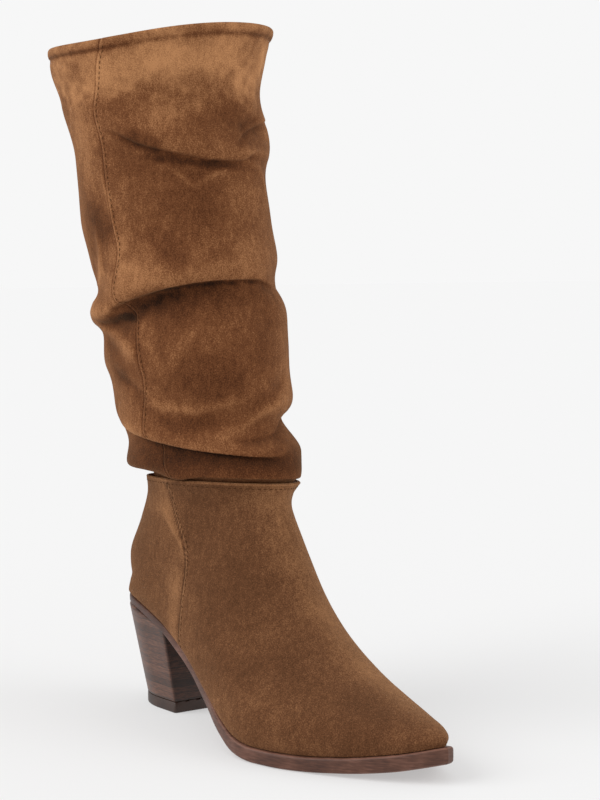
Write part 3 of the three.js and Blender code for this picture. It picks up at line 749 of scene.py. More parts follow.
@dataclass(frozen=True)
class Finish:
    """A finish: one shader whose inputs are worked out from the place on the piece."""

    name: str

    def build(self) -> Material:
        """Make the material.

        Returns:
            The material.
        """
        material = bpy.data.materials.new(self.name)
        material.use_nodes = True
        tree = material.node_tree
        tree.nodes.clear()
        place = add_node(tree, "TexCoord", output="Object")
        surface = add_node(tree, "BsdfPrincipled", self.inputs(tree, place))
        tree.links.new(surface, tree.nodes.new("ShaderNodeOutputMaterial").inputs["Surface"])
        return material

    def inputs(self, tree: Tree, place: Socket) -> Inputs:
        """Work out what the shader gets.

        Args:
            tree: Node tree of the material.
            place: Object coordinates.

        Returns:
            Values and sockets for the shader's inputs.
        """
        raise NotImplementedError


@dataclass(frozen=True)
class Suede(Finish):
    """Brushed split leather: a short nap that scatters light and shows every stroke.

    The nap gives a matt face with a pale sheen at grazing angles, patches of 20 to
    50 mm where it lies one way or the other, and a grain of about 0.6 mm.
    """

    deep: str
    dark: str
    body: str
    light: str
    contrast: float
    mottle: float
    patch_mm: float = 34.0
    mottle_mm: float = 7.0
    stroke_mm: float = 2.4
    grain_mm: float = 0.6
    stroke: float = 0.2
    grain: float = 0.5
    painted: float = 0.22

    def inputs(self, tree: Tree, place: Socket) -> Inputs:
        """Patches, mottling, strokes and grain mixed by weight, then shifted by the attribute's tone with its
        painted light and shade.

        Args:
            tree: Node tree of the material.
            place: Object coordinates.

        Returns:
            Values and sockets for the shader's inputs.
        """
        turned = {"Vector": place, "Rotation": (0.5, 0.35, 0.4), "Scale": (1.0, 1.0, 0.4)}
        strokes = add_node(tree, "Mapping", turned)
        # The attribute carries the nap's tone with painted light and shade: painted shade in creases and
        # grooves, painted highlights on lips, ridges and edges.
        parts = [(add_node(tree, "Attribute", output="Fac", attribute_name="tone_light_and_shade"), self.painted)]
        for source, size, detail, distortion, weight in (
            (place, self.patch_mm, 2.0, 0.4, self.contrast),
            (place, self.mottle_mm, 4.0, 0.3, self.mottle),
            (strokes, self.stroke_mm, 2.0, 0.0, self.stroke),
            (place, self.grain_mm, 1.0, 0.0, self.grain),
        ):
            noise = {"Vector": source, "Scale": 1 / (size * MM), "Detail": detail, "Distortion": distortion}
            parts.append((add_node(tree, "TexNoise", noise), weight))
        middle = 0.5 * (self.contrast + self.mottle + self.stroke + self.grain)
        fine = add_node(tree, "TexNoise", {"Vector": place, "Scale": 1 / (self.grain_mm * MM), "Detail": 2.0})
        stops = ((0.1, self.deep), (0.34, self.dark), (0.5, self.body), (0.86, self.light))
        return {
            "Base Color": add_node(tree, "ValToRGB", {0: weigh(tree, 0.5 - middle, *parts)}, stops=stops),
            "Normal": add_node(tree, "Bump", {"Strength": 0.7, "Distance": 0.0005, "Height": fine}),
            "Roughness": 0.95,
            "Specular IOR Level": 0.12,
            "Sheen Weight": 0.3,
            "Sheen Roughness": 0.4,
            "Sheen Tint": linear("#D9A978"),
        }


@dataclass(frozen=True)
class BurnishedEdge(Finish):
    """Cut edge of sole leather, stained and rubbed: brown with level fibres and a low gloss."""

    dark: str = "#41281F"
    body: str = "#59392C"
    light: str = "#80594A"
    fibre_mm: float = 0.7
    patch_mm: float = 14.0

    def inputs(self, tree: Tree, place: Socket) -> Inputs:
        """Noise drawn out level over softer patches, lighter along the rounded corners as a painted
        highlight.

        Args:
            tree: Node tree of the material.
            place: Object coordinates.

        Returns:
            Values and sockets for the shader's inputs.
        """
        level = add_node(tree, "Mapping", {"Vector": place, "Scale": (0.12, 0.12, 1.0)})
        fibre, patch = (
            add_node(tree, "TexNoise", {"Vector": source, "Scale": 1 / (size * MM), "Detail": 3.0})
            for source, size in ((level, self.fibre_mm), (place, self.patch_mm))
        )
        # Painted highlight along the edge's rounded corners.
        corner = add_node(tree, "Attribute", output="Fac", attribute_name="tone_light_and_shade")
        total = weigh(tree, 0.0, (fibre, 0.45), (patch, 0.5), (corner, 0.2))
        stops = ((0.32, self.dark), (0.48, self.body), (0.74, self.light))
        return {
            "Base Color": add_node(tree, "ValToRGB", {0: total}, stops=stops),
            "Normal": add_node(tree, "Bump", {"Strength": 0.3, "Distance": 0.0002, "Height": fibre}),
            "Roughness": 0.48,
            "Specular IOR Level": 0.3,
        }


@dataclass(frozen=True)
class StackedLeather(Finish):
    """Heel of stacked lifts: thin level layers of leather, waxed to a satin gloss."""

    dark: str = "#28170F"
    body: str = "#4D2F22"
    light: str = "#7A5340"
    lift_mm: float = 3.6
    fibre_mm: float = 0.7
    joint: float = 0.12

    def inputs(self, tree: Tree, place: Socket) -> Inputs:
        """Each lift has its own tone and a faint joint below it; the painted breast is darker.

        Args:
            tree: Node tree of the material.
            place: Object coordinates.

        Returns:
            Values and sockets for the shader's inputs.
        """
        height = add_node(tree, "SeparateXYZ", {0: place}, "Z")
        lifts = add_node(tree, "Math", {0: height, 1: self.lift_mm * MM}, operation="DIVIDE")
        whole = add_node(tree, "Math", {0: lifts}, operation="FLOOR")
        tone = add_node(tree, "TexWhiteNoise", {"W": whole}, noise_dimensions="1D")
        within = add_node(tree, "Math", {0: lifts}, operation="FRACT")
        line = add_node(tree, "Math", {0: within, 1: self.joint}, operation="LESS_THAN")
        level = add_node(tree, "Mapping", {"Vector": place, "Scale": (0.16, 0.16, 1.0)})
        noise = {"Vector": level, "Scale": 1 / (self.fibre_mm * MM), "Detail": 3.0}
        fibre = add_node(tree, "TexNoise", noise)
        breast = add_node(tree, "Attribute", output="Fac", attribute_name="tone_light_and_shade")
        total = weigh(tree, 0.0, (fibre, 0.5), (tone, 0.14), (line, -0.1), (breast, -0.12))
        groove = weigh(tree, fibre, (line, -0.6))
        stops = ((0.15, self.dark), (0.32, self.body), (0.52, self.light))
        return {
            "Base Color": add_node(tree, "ValToRGB", {0: total}, stops=stops),
            "Roughness": weigh(tree, 0.34, (fibre, 0.25)),
            "Normal": add_node(tree, "Bump", {"Strength": 0.22, "Distance": 0.0002, "Height": groove}),
            "Specular IOR Level": 0.4,
            "Coat Weight": 0.12,
            "Coat Roughness": 0.35,
        }


@dataclass(frozen=True)
class PlainHide(Finish):
    """Smooth leather, rubber or thread: two near tones in soft patches and a fine pebble.

    shine is the specular level: low for waxed thread, usual for leather and rubber.
    """

    dark: str
    light: str
    roughness: float
    pebble_mm: float = 0.9
    shine: float = 0.5
    patch_mm: float = 12.0

    def inputs(self, tree: Tree, place: Socket) -> Inputs:
        """Two tones mixed by soft noise, with a pebble of fine noise in the bump.

        Args:
            tree: Node tree of the material.
            place: Object coordinates.

        Returns:
            Values and sockets for the shader's inputs.
        """
        patch, pebble = (
            add_node(tree, "TexNoise", {"Vector": place, "Scale": 1 / (size * MM), "Detail": detail})
            for size, detail in ((self.patch_mm, 4.0), (self.pebble_mm, 2.0))
        )
        stops = ((0.35, self.dark), (0.65, self.light))
        return {
            "Base Color": add_node(tree, "ValToRGB", {0: patch}, stops=stops),
            "Normal": add_node(tree, "Bump", {"Strength": 0.3, "Distance": 0.0002, "Height": pebble}),
            "Roughness": self.roughness,
            "Specular IOR Level": self.shine,
        }


@dataclass(frozen=True)
class Paper(Finish):
    """Matt white paper that glows a little, so that the studio floor meets its background."""

    grey: float = 0.45
    glow: float = 0.46

    def inputs(self, tree: Tree, place: Socket) -> Inputs:
        """Plain grey with an even glow and no gloss.

        Args:
            tree: Node tree of the material.
            place: Object coordinates.

        Returns:
            Values and sockets for the shader's inputs.
        """
        return {
            "Base Color": (self.grey, self.grey, self.grey, 1.0),
            "Emission Color": linear(PAPER),
            "Emission Strength": self.glow,
            "Roughness": 1.0,
            "Specular IOR Level": 0.0,
        }


def finish_piece(piece: Piece, material: Material, slot: str, *nodes: str) -> None:
    """Give a piece its material, attach it to the body and hide the solids that it replaces.

    Args:
        piece: The piece.
        material: Its material.
        slot: Slot of the record that it takes its finish from; not used.
        *nodes: Solids that it replaces.
    """
    piece.data.materials.append(material)
    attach(piece, BODY)
    if nodes:
        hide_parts(*nodes)
    LOG.info("%s: %d faces", piece.name, len(piece.data.polygons))


def line_inside(piece: Piece, lining: Material, first: int) -> None:
    """Give the lining to the faces whose corners all come after a vertex index.

    Args:
        piece: The piece.
        lining: Material of its inside.
        first: First vertex of the inside.
    """
    mesh = piece.data
    mesh.materials.append(lining)
    starts = np.empty(len(mesh.polygons), dtype=np.int32)
    mesh.polygons.foreach_get("loop_start", starts)
    corners = np.empty(len(mesh.loops), dtype=np.int32)
    mesh.loops.foreach_get("vertex_index", corners)
    lowest = np.minimum.reduceat(corners, starts)
    mesh.polygons.foreach_set("material_index", (lowest >= first).astype(np.int32))


def outline_ring(inset: float, height: Callable[[Array], Array], shrink: float = 1.0) -> Array:
    """One ring of the sole's outline, moved in square to itself.

    It runs from the seat's back round the outer side to the toe and home along the inner.

    Args:
        inset: How far it is moved in.
        height: Gives the ring's height at each x.
        shrink: Lengthwise scale about the sole's middle.

    Returns:
        Points by 3.
    """
    share = 0.5 - 0.5 * np.cos(np.linspace(0, math.pi, OUTLINE_STEPS + 1))
    sides = [sole_edge("outer", share), sole_edge("inner", share)]
    outer, inner = (np.stack([place_at(share), side], axis=1) for side in sides)
    plan = np.concatenate([outer, inner[-2:0:-1]])
    step = unit(np.roll(plan, -1, axis=0) - np.roll(plan, 1, axis=0))
    x = plan[:, 0] - step[:, 1] * inset
    y = plan[:, 1] + step[:, 0] * inset
    x = SOLE_MIDDLE + (x - SOLE_MIDDLE) * shrink
    return np.stack([x, y, height(x)], axis=1)


def pick(values: Array, index: Array) -> Array:
    """Values of a line at fractional indices, along its first axis."""
    low = np.clip(np.floor(index).astype(int), 0, len(values) - 2)
    return lerp(values[low], values[low + 1], (index - low)[:, None])


@dataclass(frozen=True)
class Stitches:
    """A row of short threads, each a spindle with round ends; sizes in mm."""

    name: str
    length: float
    thick: float
    pitch: float = 3.2
    stand: float = 0.02
    rings: int = 7
    spokes: int = 6

    def sew(self, line: Array, out: Array, thread: Material, slot: str) -> None:
        """Lay the threads at an even pitch along a line: circles whose size is a flat-topped arch.

        Args:
            line: Line of points by 3, in mm.
            out: Direction away from the skin at each point.
            thread: Material of the threads.
            slot: Slot of the record that they take their finish from.
        """
        run = np.concatenate([[0], np.cumsum(np.linalg.norm(np.diff(line, axis=0), axis=1))])
        index = np.interp(np.arange(self.pitch / 2, run[-1], self.pitch), run, np.arange(len(line)))
        along = unit(pick(line, index + 0.5) - pick(line, index - 0.5))[:, None, None, :]
        face = unit(pick(out, index))[:, None, None, :]
        middle = pick(line, index)[:, None, None, :] + face * self.stand
        slide = np.linspace(-1, 1, self.rings)[:, None, None]
        angle = np.linspace(0, 2 * math.pi, self.spokes, endpoint=False)[:, None]
        girth = np.sqrt(1 - slide**2) ** 0.7 + 0.02
        spoke = np.cos(angle) * np.cross(face, along) + np.sin(angle) * face
        points = middle + (slide * along * self.length + spoke * girth * self.thick) / 2
        starts = np.arange(len(index))[:, None, None] * self.rings * self.spokes
        end = np.arange(self.spokes)
        ends = starts + np.stack([end[::-1], end + (self.rings - 1) * self.spokes])
        quads = starts + ring_quads(self.rings, self.spokes)
        faces = quads.reshape(-1, 4).tolist() + ends.reshape(-1, self.spokes).tolist()
        finish_piece(add_mesh(self.name, points, faces), thread, slot)


@dataclass
class SoleUnit:
    """Outsole, stacked heel, top lift and insole."""

    front: float = SEAT_BACK + HEEL_SETBACK + HEEL_TOP_LENGTH
    top_width: float = SOLE_WIDTH * 0.656
    insole_inset: float = WELT_FRONT + UPPER_WALL + 1.1
    insole_short: float = 10
    back_share: float = 0.62
    back_power: float = 0.9
    corner: float = 1.3
    rim_ease: float = 0.35

    def build(self) -> None:
        """Make and dress the four pieces."""
        edge = BurnishedEdge("burnished_sole_leather").build()
        stack = StackedLeather("waxed_stacked_leather").build()
        rubber = PlainHide("moulded_black_rubber", "#2D1B13", "#3B261C", 0.5).build()
        sock = PlainHide("smooth_lining_leather", "#8E6A44", "#A5805A", 0.6).build()
        finish_piece(self.outsole(), edge, "outsole", "outsole")
        finish_piece(self.heel(), stack, "heel", "heel")
        finish_piece(self.top_lift(), rubber, "top_lift", "top_lift")
        finish_piece(self.insole(), sock, "insole", "insole")

    def outsole(self) -> Piece:
        """Rings of the outline stacked up the rounded edge, closed above and below.

        Returns:
            The piece.
        """
        ends = np.linspace(0, 0.16, 6), np.linspace(0.24, 0.76, 6), np.linspace(0.84, 1, 6)
        shares = np.concatenate(ends)
        insets = EDGE_ROUND * SOLE_EDGE.read("inset", shares)
        rings = [
            outline_ring(inset, lambda x, s=share: lerp(sole_bottom(x), sole_top(x), s))
            for inset, share in zip(insets, shares)
        ]
        points = np.array(rings)
        piece = ring_mesh("outsole_leather", points, Closing.CAPPED)
        # Painted highlight along the rounded top and bottom corners of the edge; the seat is darker.
        corner = hump(shares, 0.95, 0.05) + 0.8 * hump(shares, 0.03, 0.05)
        seat = 1 - smooth(20, 50, points[..., 0])
        set_attribute(piece, "tone_light_and_shade", corner[:, None] * (1 - 0.6 * seat) - 0.5 * seat)
        return piece

    def insole(self) -> Piece:
        """Flat board over the turned-in edge, with a rounded rim.

        Returns:
            The piece.
        """
        under = 2.4 * GAP + UPPER_WALL
        shrink = 1 - self.insole_short / SOLE_LENGTH
        rings = [
            outline_ring(self.insole_inset + ease, lambda x, r=rise: sole_top(x) + under + r, shrink)
            for rise, ease in ((0, 0.4), (0.4, 0), (INSOLE_THICKNESS - 0.4, 0), (INSOLE_THICKNESS, 0.5))
        ]
        return ring_mesh("insole_sock", np.array(rings), Closing.CAPPED)

    def heel_ring(self, share: Array, grow: float = 0.0) -> tuple[Array, Array]:
        """Plan of the heel at shares of its height: a D with a flat breast and soft corners.

        One half runs from the breast's middle round a corner and along the side to the
        back, whose arc is cosine by sine to a power; the other half mirrors it.

        Args:
            share: Shares of the height, one for each ring.
            grow: How far the outline is moved out.

        Returns:
            x and y, each rings by points.
        """
        share = np.atleast_1d(share)[:, None]
        length = lerp(HEEL_FOOT_LENGTH, HEEL_TOP_LENGTH, share) + 2 * grow
        half = lerp(HEEL_FOOT_WIDTH, self.top_width, share) / 2 + grow
        front = np.full_like(half, self.front + grow)
        back = self.back_share * length
        middle = front - (length - back)
        sweep = np.linspace(-math.pi / 2, -math.pi, 31)
        bend = np.linspace(0, math.pi / 2, 7)
        r = self.corner
        parts = (
            (np.repeat(front, 8, axis=1), (r - half) * np.linspace(0, 1, 9)[:-1]),
            (front - r + r * np.cos(bend), r - half - r * np.sin(bend)),
            (lerp(front - r, middle, np.linspace(0, 1, 8)[1:-1]), np.repeat(-half, 6, axis=1)),
            (middle + back * np.cos(sweep), -half * np.abs(np.sin(sweep)) ** self.back_power),
        )
        x, y = (np.concatenate(values, axis=1) for values in zip(*parts))
        return np.concatenate([x, x[:, -2:0:-1]], axis=1), np.concatenate([y, -y[:, -2:0:-1]], axis=1)

    def heel(self) -> Piece:
        """Rings from the lift to the sole, each height scaled to the sole's underside.

        Returns:
            The piece.
        """
        share = np.concatenate([[0.0], np.linspace(0.01, 0.99, 40), [1.0]])
        x, y = self.heel_ring(share)
        ease = self.rim_ease * ((share == 0) | (share == 1))[:, None]
        x, y = x - np.sign(x) * ease, y - np.sign(y) * ease
        base = TOP_LIFT + GAP
        z = base + share[:, None] * (sole_bottom(x) - GAP - base)
        piece = ring_mesh("heel_stack", np.stack([x, y, z], axis=-1), Closing.CAPPED)
        set_attribute(piece, "tone_light_and_shade", smooth(self.front - 0.7, self.front - 0.1, x))
        return piece

    def top_lift(self) -> Piece:
        """Rings of the heel's foot with rounded rims.

        Returns:
            The piece.
        """
        rows = ((0.0, -0.5), (0.3, -0.1), (0.8, 0.0), (TOP_LIFT - 0.6, 0.0), (TOP_LIFT, -0.3))
        rings = []
        for height, grow in rows:
            x, y = self.heel_ring(np.zeros(1), grow)
            rings.append(np.stack([x[0], y[0], np.full_like(x[0], height)], axis=-1))
        return ring_mesh("top_lift_rubber", np.array(rings), Closing.CAPPED)


@dataclass
class Foot:
    """Vamp and back piece of the boot, lasted over the insole."""

    rows: int = 230
    columns: int = 232
    flat_share: float = 0.15
    belly_share: float = 0.4
    fill: float = 1.7
    seat_tuck: float = 0.8
    ridge: float = 0.45
    groove: float = 0.25
    rim: tuple[tuple[float, float], ...] = ((0.2, 0.3), (0.7, 0.45), (1.25, 0.3), (1.6, -0.2))
    rim_sewn: float = 2.4
    seam_sewn: float = 1.7

    def skin(self, at: Array) -> Array:
        """Outer skin before the vamp's lap.

        Each ring runs in the plane from its foot point to its crest: flat under the
        foot, then a quarter ellipse out to the belly, then an arch to the crest.

        Args:
            at: Places along the section table.

        Returns:
            Rings by points by 3.
        """
        get = {name: FOOT_SECTIONS.read(name, at)[:, None] for name in FOOT_SECTIONS.values}
        foot_x, crest_x = place_at(get["foot_x"]), place_at(get["crest_x"])
        share = share_at(foot_x)
        outer, inner = sole_edge("outer", share), sole_edge("inner", share)
        rise = ANKLE_RISE * get["foot_z"]
        ridge = SOLE_WIDTH * get["ridge"]
        middle = np.where(foot_x > 0, (outer + inner) / 2, ridge * smooth(0, 0.85 * ANKLE_RISE, rise))
        welt = lerp(WELT_BACK, WELT_FRONT, smooth(0.3, 0.6, share))
        foot_z = sole_top(foot_x) + GAP + rise
        crest_z = ANKLE_HEIGHT * get["crest_z"]
        on_sole = 1 - smooth(0, 0.085 * ANKLE_RISE, rise)
        p = np.linspace(0, 1, self.columns // 2 + 1)[None, :]
        flat, low = self.flat_share, self.belly_share
        turn_low = np.clip((p - flat) / (low - flat), 0, 1) * math.pi / 2
        turn_high = np.clip((p - low) / (1 - low), 0, 1) * math.pi / 2
        power = 2 / get["round"]
        breadth = SOLE_WIDTH * (get["outer"] + get["inner"]) / 2
        halves = []
        for side, edge in ((-1, outer), (1, inner)):
            widest = SOLE_WIDTH * (get["outer"] if side < 0 else get["inner"])
            base = np.maximum(np.abs(edge - middle) - welt, 0.8)
            base = np.minimum(base, widest - 0.3) * on_sole + 1.2 * (1 - on_sole)
            reach = np.where(p < flat, base * p / flat, base + (widest - base) * np.sin(turn_low))
            reach = np.where(p > low, widest * np.cos(turn_high) ** power, reach)
            climb = np.where(p < flat, 0.0, get["belly"] * (1 - np.cos(turn_low)))
            climb = np.where(p > low, get["belly"] + (1 - get["belly"]) * np.sin(turn_high) ** power, climb)
            x = lerp(foot_x, crest_x, climb)
            y = side * reach + lerp(middle, ridge, climb)
            lift = seam_lift(side * reach / breadth) * smooth(0.88, 1, at)[:, None]
            z = lerp(foot_z, crest_z, climb) + lift
            halves.append(np.stack([x, y, z], axis=-1))
        return np.concatenate([halves[0], halves[1][:, -2:0:-1]], axis=1)

    def dressed(self, at: Array) -> tuple[Array, Array]:
        """Skin with the vamp lapped over the back piece, a full counter and a tucked seat.

        Args:
            at: Places along the section table.

        Returns:
            The points, and how far each lies in front of the seam in mm.
        """
        points = self.skin(at)
        height = points[..., 2] / ANKLE_HEIGHT
        outer, inner = COUNTER_SEAM.read("outer", height), COUNTER_SEAM.read("inner", height)
        ahead = points[..., 0] - place_at(np.where(points[..., 1] < 0, outer, inner))
        above = points[..., 2] - sole_top(points[..., 0])
        lift = SEAM_STEP * smooth(-0.8, 0.8, ahead) - self.groove * hump(ahead, -1.3, 0.8)
        lift = lift * smooth(0.5, 5, above) + self.ridge * self.counter_edge(points, ahead)
        back = 1 - smooth(-20, 25, points[..., 0])
        lift += back * (self.fill * hump(above, 24, 14) - self.seat_tuck * hump(above, 2, 8))
        return points + skin_normals(points) * lift[..., None], ahead

    def counter_edge(self, points: Array, ahead: Array) -> Array:
        """Ridge of the stiffener's edge, from the seam at mid height up and back to the rim.

        Args:
            points: Points of the outside.
            ahead: How far each lies in front of the seam.

        Returns:
            Height of the ridge, from 0 to 1.
        """
        height = points[..., 2]
        reach = smooth(84, 94, height) * (1 - smooth(114, 124, height))
        return hump(ahead + 0.38 * (height - 86), 0, 1.8) * reach

    def brushed_lit_and_shaded(self, points: Array, ahead: Array, below: Array) -> Array:
        """Nap's lightness: pale edges, painted shade in the groove behind the lap, a paler counter with a
        painted highlight along the stiffener's ridge, and a painted highlight along the instep.

        Args:
            points: Points of the outside.
            ahead: How far each lies in front of the seam.
            below: How far each lies below the top edge.

        Returns:
            One number for each point.
        """
        x, y, z = np.moveaxis(points, -1, 0)
        counter = smooth(-26, -2, ahead) * (1 - smooth(-2, 0, ahead)) * (y < 0)
        instep = 1 - smooth(6, 26, np.abs(y - 8 - 0.12 * (128 - z)))
        # Pale raw edge of the lap, and painted shade in the groove behind it.
        tone_light_and_shade = hump(ahead, 0.2, 0.6) - 1.4 * hump(ahead, -1.2, 0.8)
        # Paler counter, with a painted highlight along the stiffener's ridge.
        tone_light_and_shade += 0.45 * counter * smooth(60, 100, z) + 0.6 * self.counter_edge(points, ahead)
        tone_light_and_shade += 0.7 * hump(ahead, -9, 8) * (1 - smooth(72, 90, z))
        # Painted highlight along the instep's crest.
        tone_light_and_shade += 0.5 * instep * smooth(60, 80, x + 0.5 * (z - 60))
        return tone_light_and_shade + 0.5 * hump(below, 0, 0.3)

    def build(self, suede: Material, lining: Material, thread: Material) -> None:
        """Make and dress the upper, its lining and its stitches.

        Args:
            suede: Material of the outside.
            lining: Material of the inside.
            thread: Material of the stitches.
        """
        at = np.concatenate([np.linspace(0, 0.06, 22)[:-1], np.linspace(0.06, 1, self.rows - 21)])
        outside, ahead = self.dressed(at)
        normal, below = skin_normals(outside), self.below_rim(outside)
        inside = (outside - normal * UPPER_WALL)[np.arange(12, len(at) - 1, 6)[::-1]]
        rings = np.concatenate([outside, roll_over(outside[-1], normal[-1], self.rim), inside])
        piece = ring_mesh("upper_suede", rings, Closing.CAPPED)
        tone_light_and_shade = np.full(rings.shape[:2], 0.35)
        tone_light_and_shade[: len(at)] = self.brushed_lit_and_shaded(outside, ahead, below)
        set_attribute(piece, "tone_light_and_shade", tone_light_and_shade)
        finish_piece(piece, suede, "upper", "upper")
        line_inside(piece, lining, (len(at) + len(self.rim)) * self.columns)
        self.rim_stitches(outside, normal, below, thread)
        self.seam_stitches(outside, normal, ahead, thread)

    def below_rim(self, outside: Array) -> Array:
        """Distance of each point from the top edge, along its column.

        Args:
            outside: Points of the outside.

        Returns:
            Distances in mm.
        """
        step = np.linalg.norm(np.diff(outside, axis=0), axis=-1)
        down = np.cumsum(step[::-1], axis=0)[::-1]
        return np.concatenate([down, np.zeros((1, outside.shape[1]))])

    def rim_stitches(self, outside: Array, normal: Array, below: Array, thread: Material) -> None:
        """Row of stitches a little under the top edge.

        Args:
            outside: Points of the outside.
            normal: Their normals.
            below: How far each lies below the top edge.
            thread: Material of the stitches.
        """
        columns = np.append(np.arange(outside.shape[1]), 0)
        high = np.argmax(below < self.rim_sewn, axis=0)[columns]
        low_run, high_run = below[high - 1, columns], below[high, columns]
        part = (low_run - self.rim_sewn) / (low_run - high_run)
        line = lerp(outside[high - 1, columns], outside[high, columns], part[:, None])
        Stitches("ankle_stitches", 1.8, 0.4).sew(line, normal[high, columns], thread, "upper")

    def seam_stitches(self, outside: Array, normal: Array, ahead: Array, thread: Material) -> None:
        """A row of stitches in front of the seam on each side, where the grid comes nearest to it.

        Args:
            outside: Points of the outside.
            normal: Their normals.
            ahead: How far each lies in front of the seam.
            thread: Material of the stitches.
        """
        for side, name in ((-1, "outer"), (1, "inner")):
            mask = (np.sign(outside[..., 1]) == side) & (outside[..., 2] > sole_top(outside[..., 0]) + 3)
            gap = np.where(mask, np.abs(ahead - self.seam_sewn), 99.0)
            rows, column = np.arange(len(gap)), np.argmin(gap, axis=1)
            rows, column = (values[gap[rows, column] < 1.0] for values in (rows, column))
            order = np.argsort(outside[rows, column, 2])
            rows, column = rows[order], column[order]
            spread = np.diff(outside[rows, column, 2], prepend=-99) > 0.4
            rows, column = rows[spread], column[spread]
            row = Stitches(f"counter_stitches_{name}", 1.9, 0.38)
            row.sew(outside[rows, column], normal[rows, column], thread, "upper")


@dataclass
class Shaft:
    """Tall leg of soft suede, slouched in folds."""

    rows: int = 280
    columns: int = 204
    rim_rows: int = 31
    rim: tuple[tuple[float, float], ...] = ((0.35, 0.45), (1.1, 0.55), (1.6, 0.1))
    outer_seam: float = -76
    inner_seam: float = 92
    seam_sewn: float = 1.7
    sewn_top: float = 366
    lap: float = 0.35
    groove: float = 0.25

    def seam_relief(self, turn: Array, height: Array) -> tuple[Array, Array]:
        """Low lap along each side seam, with a raw edge and a narrow groove behind it.

        Args:
            turn: Angles in degrees.
            height: Heights in mm.

        Returns:
            Outward movement, and the nap's lightness: pale along the raw edge, with painted shade in the
            groove.
        """
        total, tone_light_and_shade = np.zeros((2, *np.broadcast(turn, height).shape))
        for side, sign in (("outer", 1), ("inner", -1)):
            offset = sign * np.radians(turn - SHAFT_SEAMS.read(side, height)) * SHAFT_RADIUS
            groove = hump(offset, -0.7, 0.45)
            total += self.lap * smooth(-0.4, 0.4, offset) * (1 - smooth(3, 12, offset)) - self.groove * groove
            # Pale raw edge; painted shade darkens the groove behind it.
            tone_light_and_shade += 0.35 * hump(offset, 0.2, 0.35) - 0.55 * groove
        return total, tone_light_and_shade

    def surface(self, turn: Array, height: Array, out: Array | float, rise: Array | float) -> Array:
        """Points of the leg: ovals along a leaning centre line, moved out and up.

        Args:
            turn: Angles of the points in degrees.
            height: Heights of the points before they slouch.
            out: Outward movement.
            rise: Upward movement.

        Returns:
            Points, in the broadcast shape of turn and height by 3.
        """
        level = (height - SHAFT_FOOT) / SHAFT_HEIGHT
        get = {name: SHAFT_SECTIONS.read(name, level) for name in SHAFT_SECTIONS.values}
        ankle = {name: values[-1] for name, values in FOOT_SECTIONS.values.items()}
        ankle_length = SOLE_LENGTH * (ankle["crest_x"] - ankle["foot_x"]) / 2 - UPPER_WALL
        ankle_width = SOLE_WIDTH * (ankle["outer"] + ankle["inner"]) / 2 - UPPER_WALL
        centre_x = place_at((ankle["foot_x"] + ankle["crest_x"]) / 2) + SHAFT_HEIGHT * get["lean_x"]
        centre_y = SOLE_WIDTH * ankle["ridge"] + SHAFT_HEIGHT * get["lean_y"]
        length = lerp(ankle_length, COLLAR_LENGTH / 2, get["flare_x"])
        width = lerp(ankle_width, COLLAR_WIDTH / 2, get["flare_y"])
        angle = np.radians(turn)
        x = centre_x + (length + out) * np.cos(angle)
        y = centre_y + (width + out) * np.sin(angle)
        tilt = COLLAR_RISE_FRONT * np.cos(angle) + COLLAR_RISE_INNER * np.sin(angle)
        dip = COLLAR_DIP * np.exp(3.2 * (np.cos(angle + 1.2) - 1))
        lift = seam_lift(np.sin(angle)) * (1 - smooth(0, 0.13, level))
        z = height + rise + lift + (tilt - dip) * smooth(0.8, 1, level)
        return np.stack(np.broadcast_arrays(x, y, z), axis=-1)

    def slouch(self, turn: Array, height: Array) -> tuple[Array, Array, Array]:
        """All movements of the skin together.

        Args:
            turn: Angles in degrees.
            height: Heights in mm.

        Returns:
            Outward and upward movement, and the nap's tone with painted light and shade.
        """
        below = SHAFT_FOOT + SHAFT_HEIGHT - height
        free = smooth(ANKLE_HEIGHT - 1, ANKLE_HEIGHT + 3.5, height)
        calm = 1 - smooth(self.sewn_top - 14, self.sewn_top, height)
        out, rise, tone_light_and_shade = sum(fold.shift(turn, height) for fold in FOLDS)
        more_out, more_rise, crease_light_and_shade = sum(crease.shift(turn, height) for crease in CREASES)
        seam, seam_tone_and_shade = self.seam_relief(turn, height)
        uneven = 0.8 * wave_noise(turn, height, 11, 62) + 0.25 * wave_noise(turn, height, 12, 26)
        out += (more_out + uneven * calm) * free + seam
        out += 0.5 * COLLAR_ROLL * COLLAR_RIM.read("out", 1.35 * below / COLLAR_ROLL)
        ragged = 0.24 * wave_noise(turn, height, 31, 24, 16) + 0.2 * wave_noise(turn, height, 32, 7, 16)
        tone_light_and_shade += crease_light_and_shade + seam_tone_and_shade + sum(patch.shade(turn, height, ragged) for patch in PATCHES)
        # Painted shade in the groove under the collar's roll and round the leg at 141 mm under the lip above
        # the ankle; painted highlight along the collar's top edge.
        groove = hump(below, 5.0, 1.3) * (0.75 + 0.25 * wave_noise(turn, height * 0, 41, 60))
        edge, recess_shade = hump(below, 0, 2.6), hump(height, 141, 8)
        tone_light_and_shade += 0.45 * edge - 1.1 * groove - recess_shade
        return out, rise + more_rise * free, tone_light_and_shade

    def build(self, suede: Material, lining: Material, thread: Material) -> None:
        """Make and dress the leg with its smooth inside, and its stitches.

        Args:
            suede: Material of the outside.
            lining: Material of the inside.
            thread: Material of the stitches.
        """
        top = SHAFT_FOOT + SHAFT_HEIGHT
        leg, rim = np.linspace(SHAFT_FOOT, top - 12, self.rows), np.linspace(top - 12, top, self.rim_rows)
        height = np.concatenate([leg[:-1], rim])[:, None]
        turn = self.columns_along_seams(height)
        out, rise, tone_light_and_shade = self.slouch(turn, height)
        outside = self.surface(turn, height, out, rise)
        rolled = roll_over(outside[-1], skin_normals(outside)[-1], self.rim)
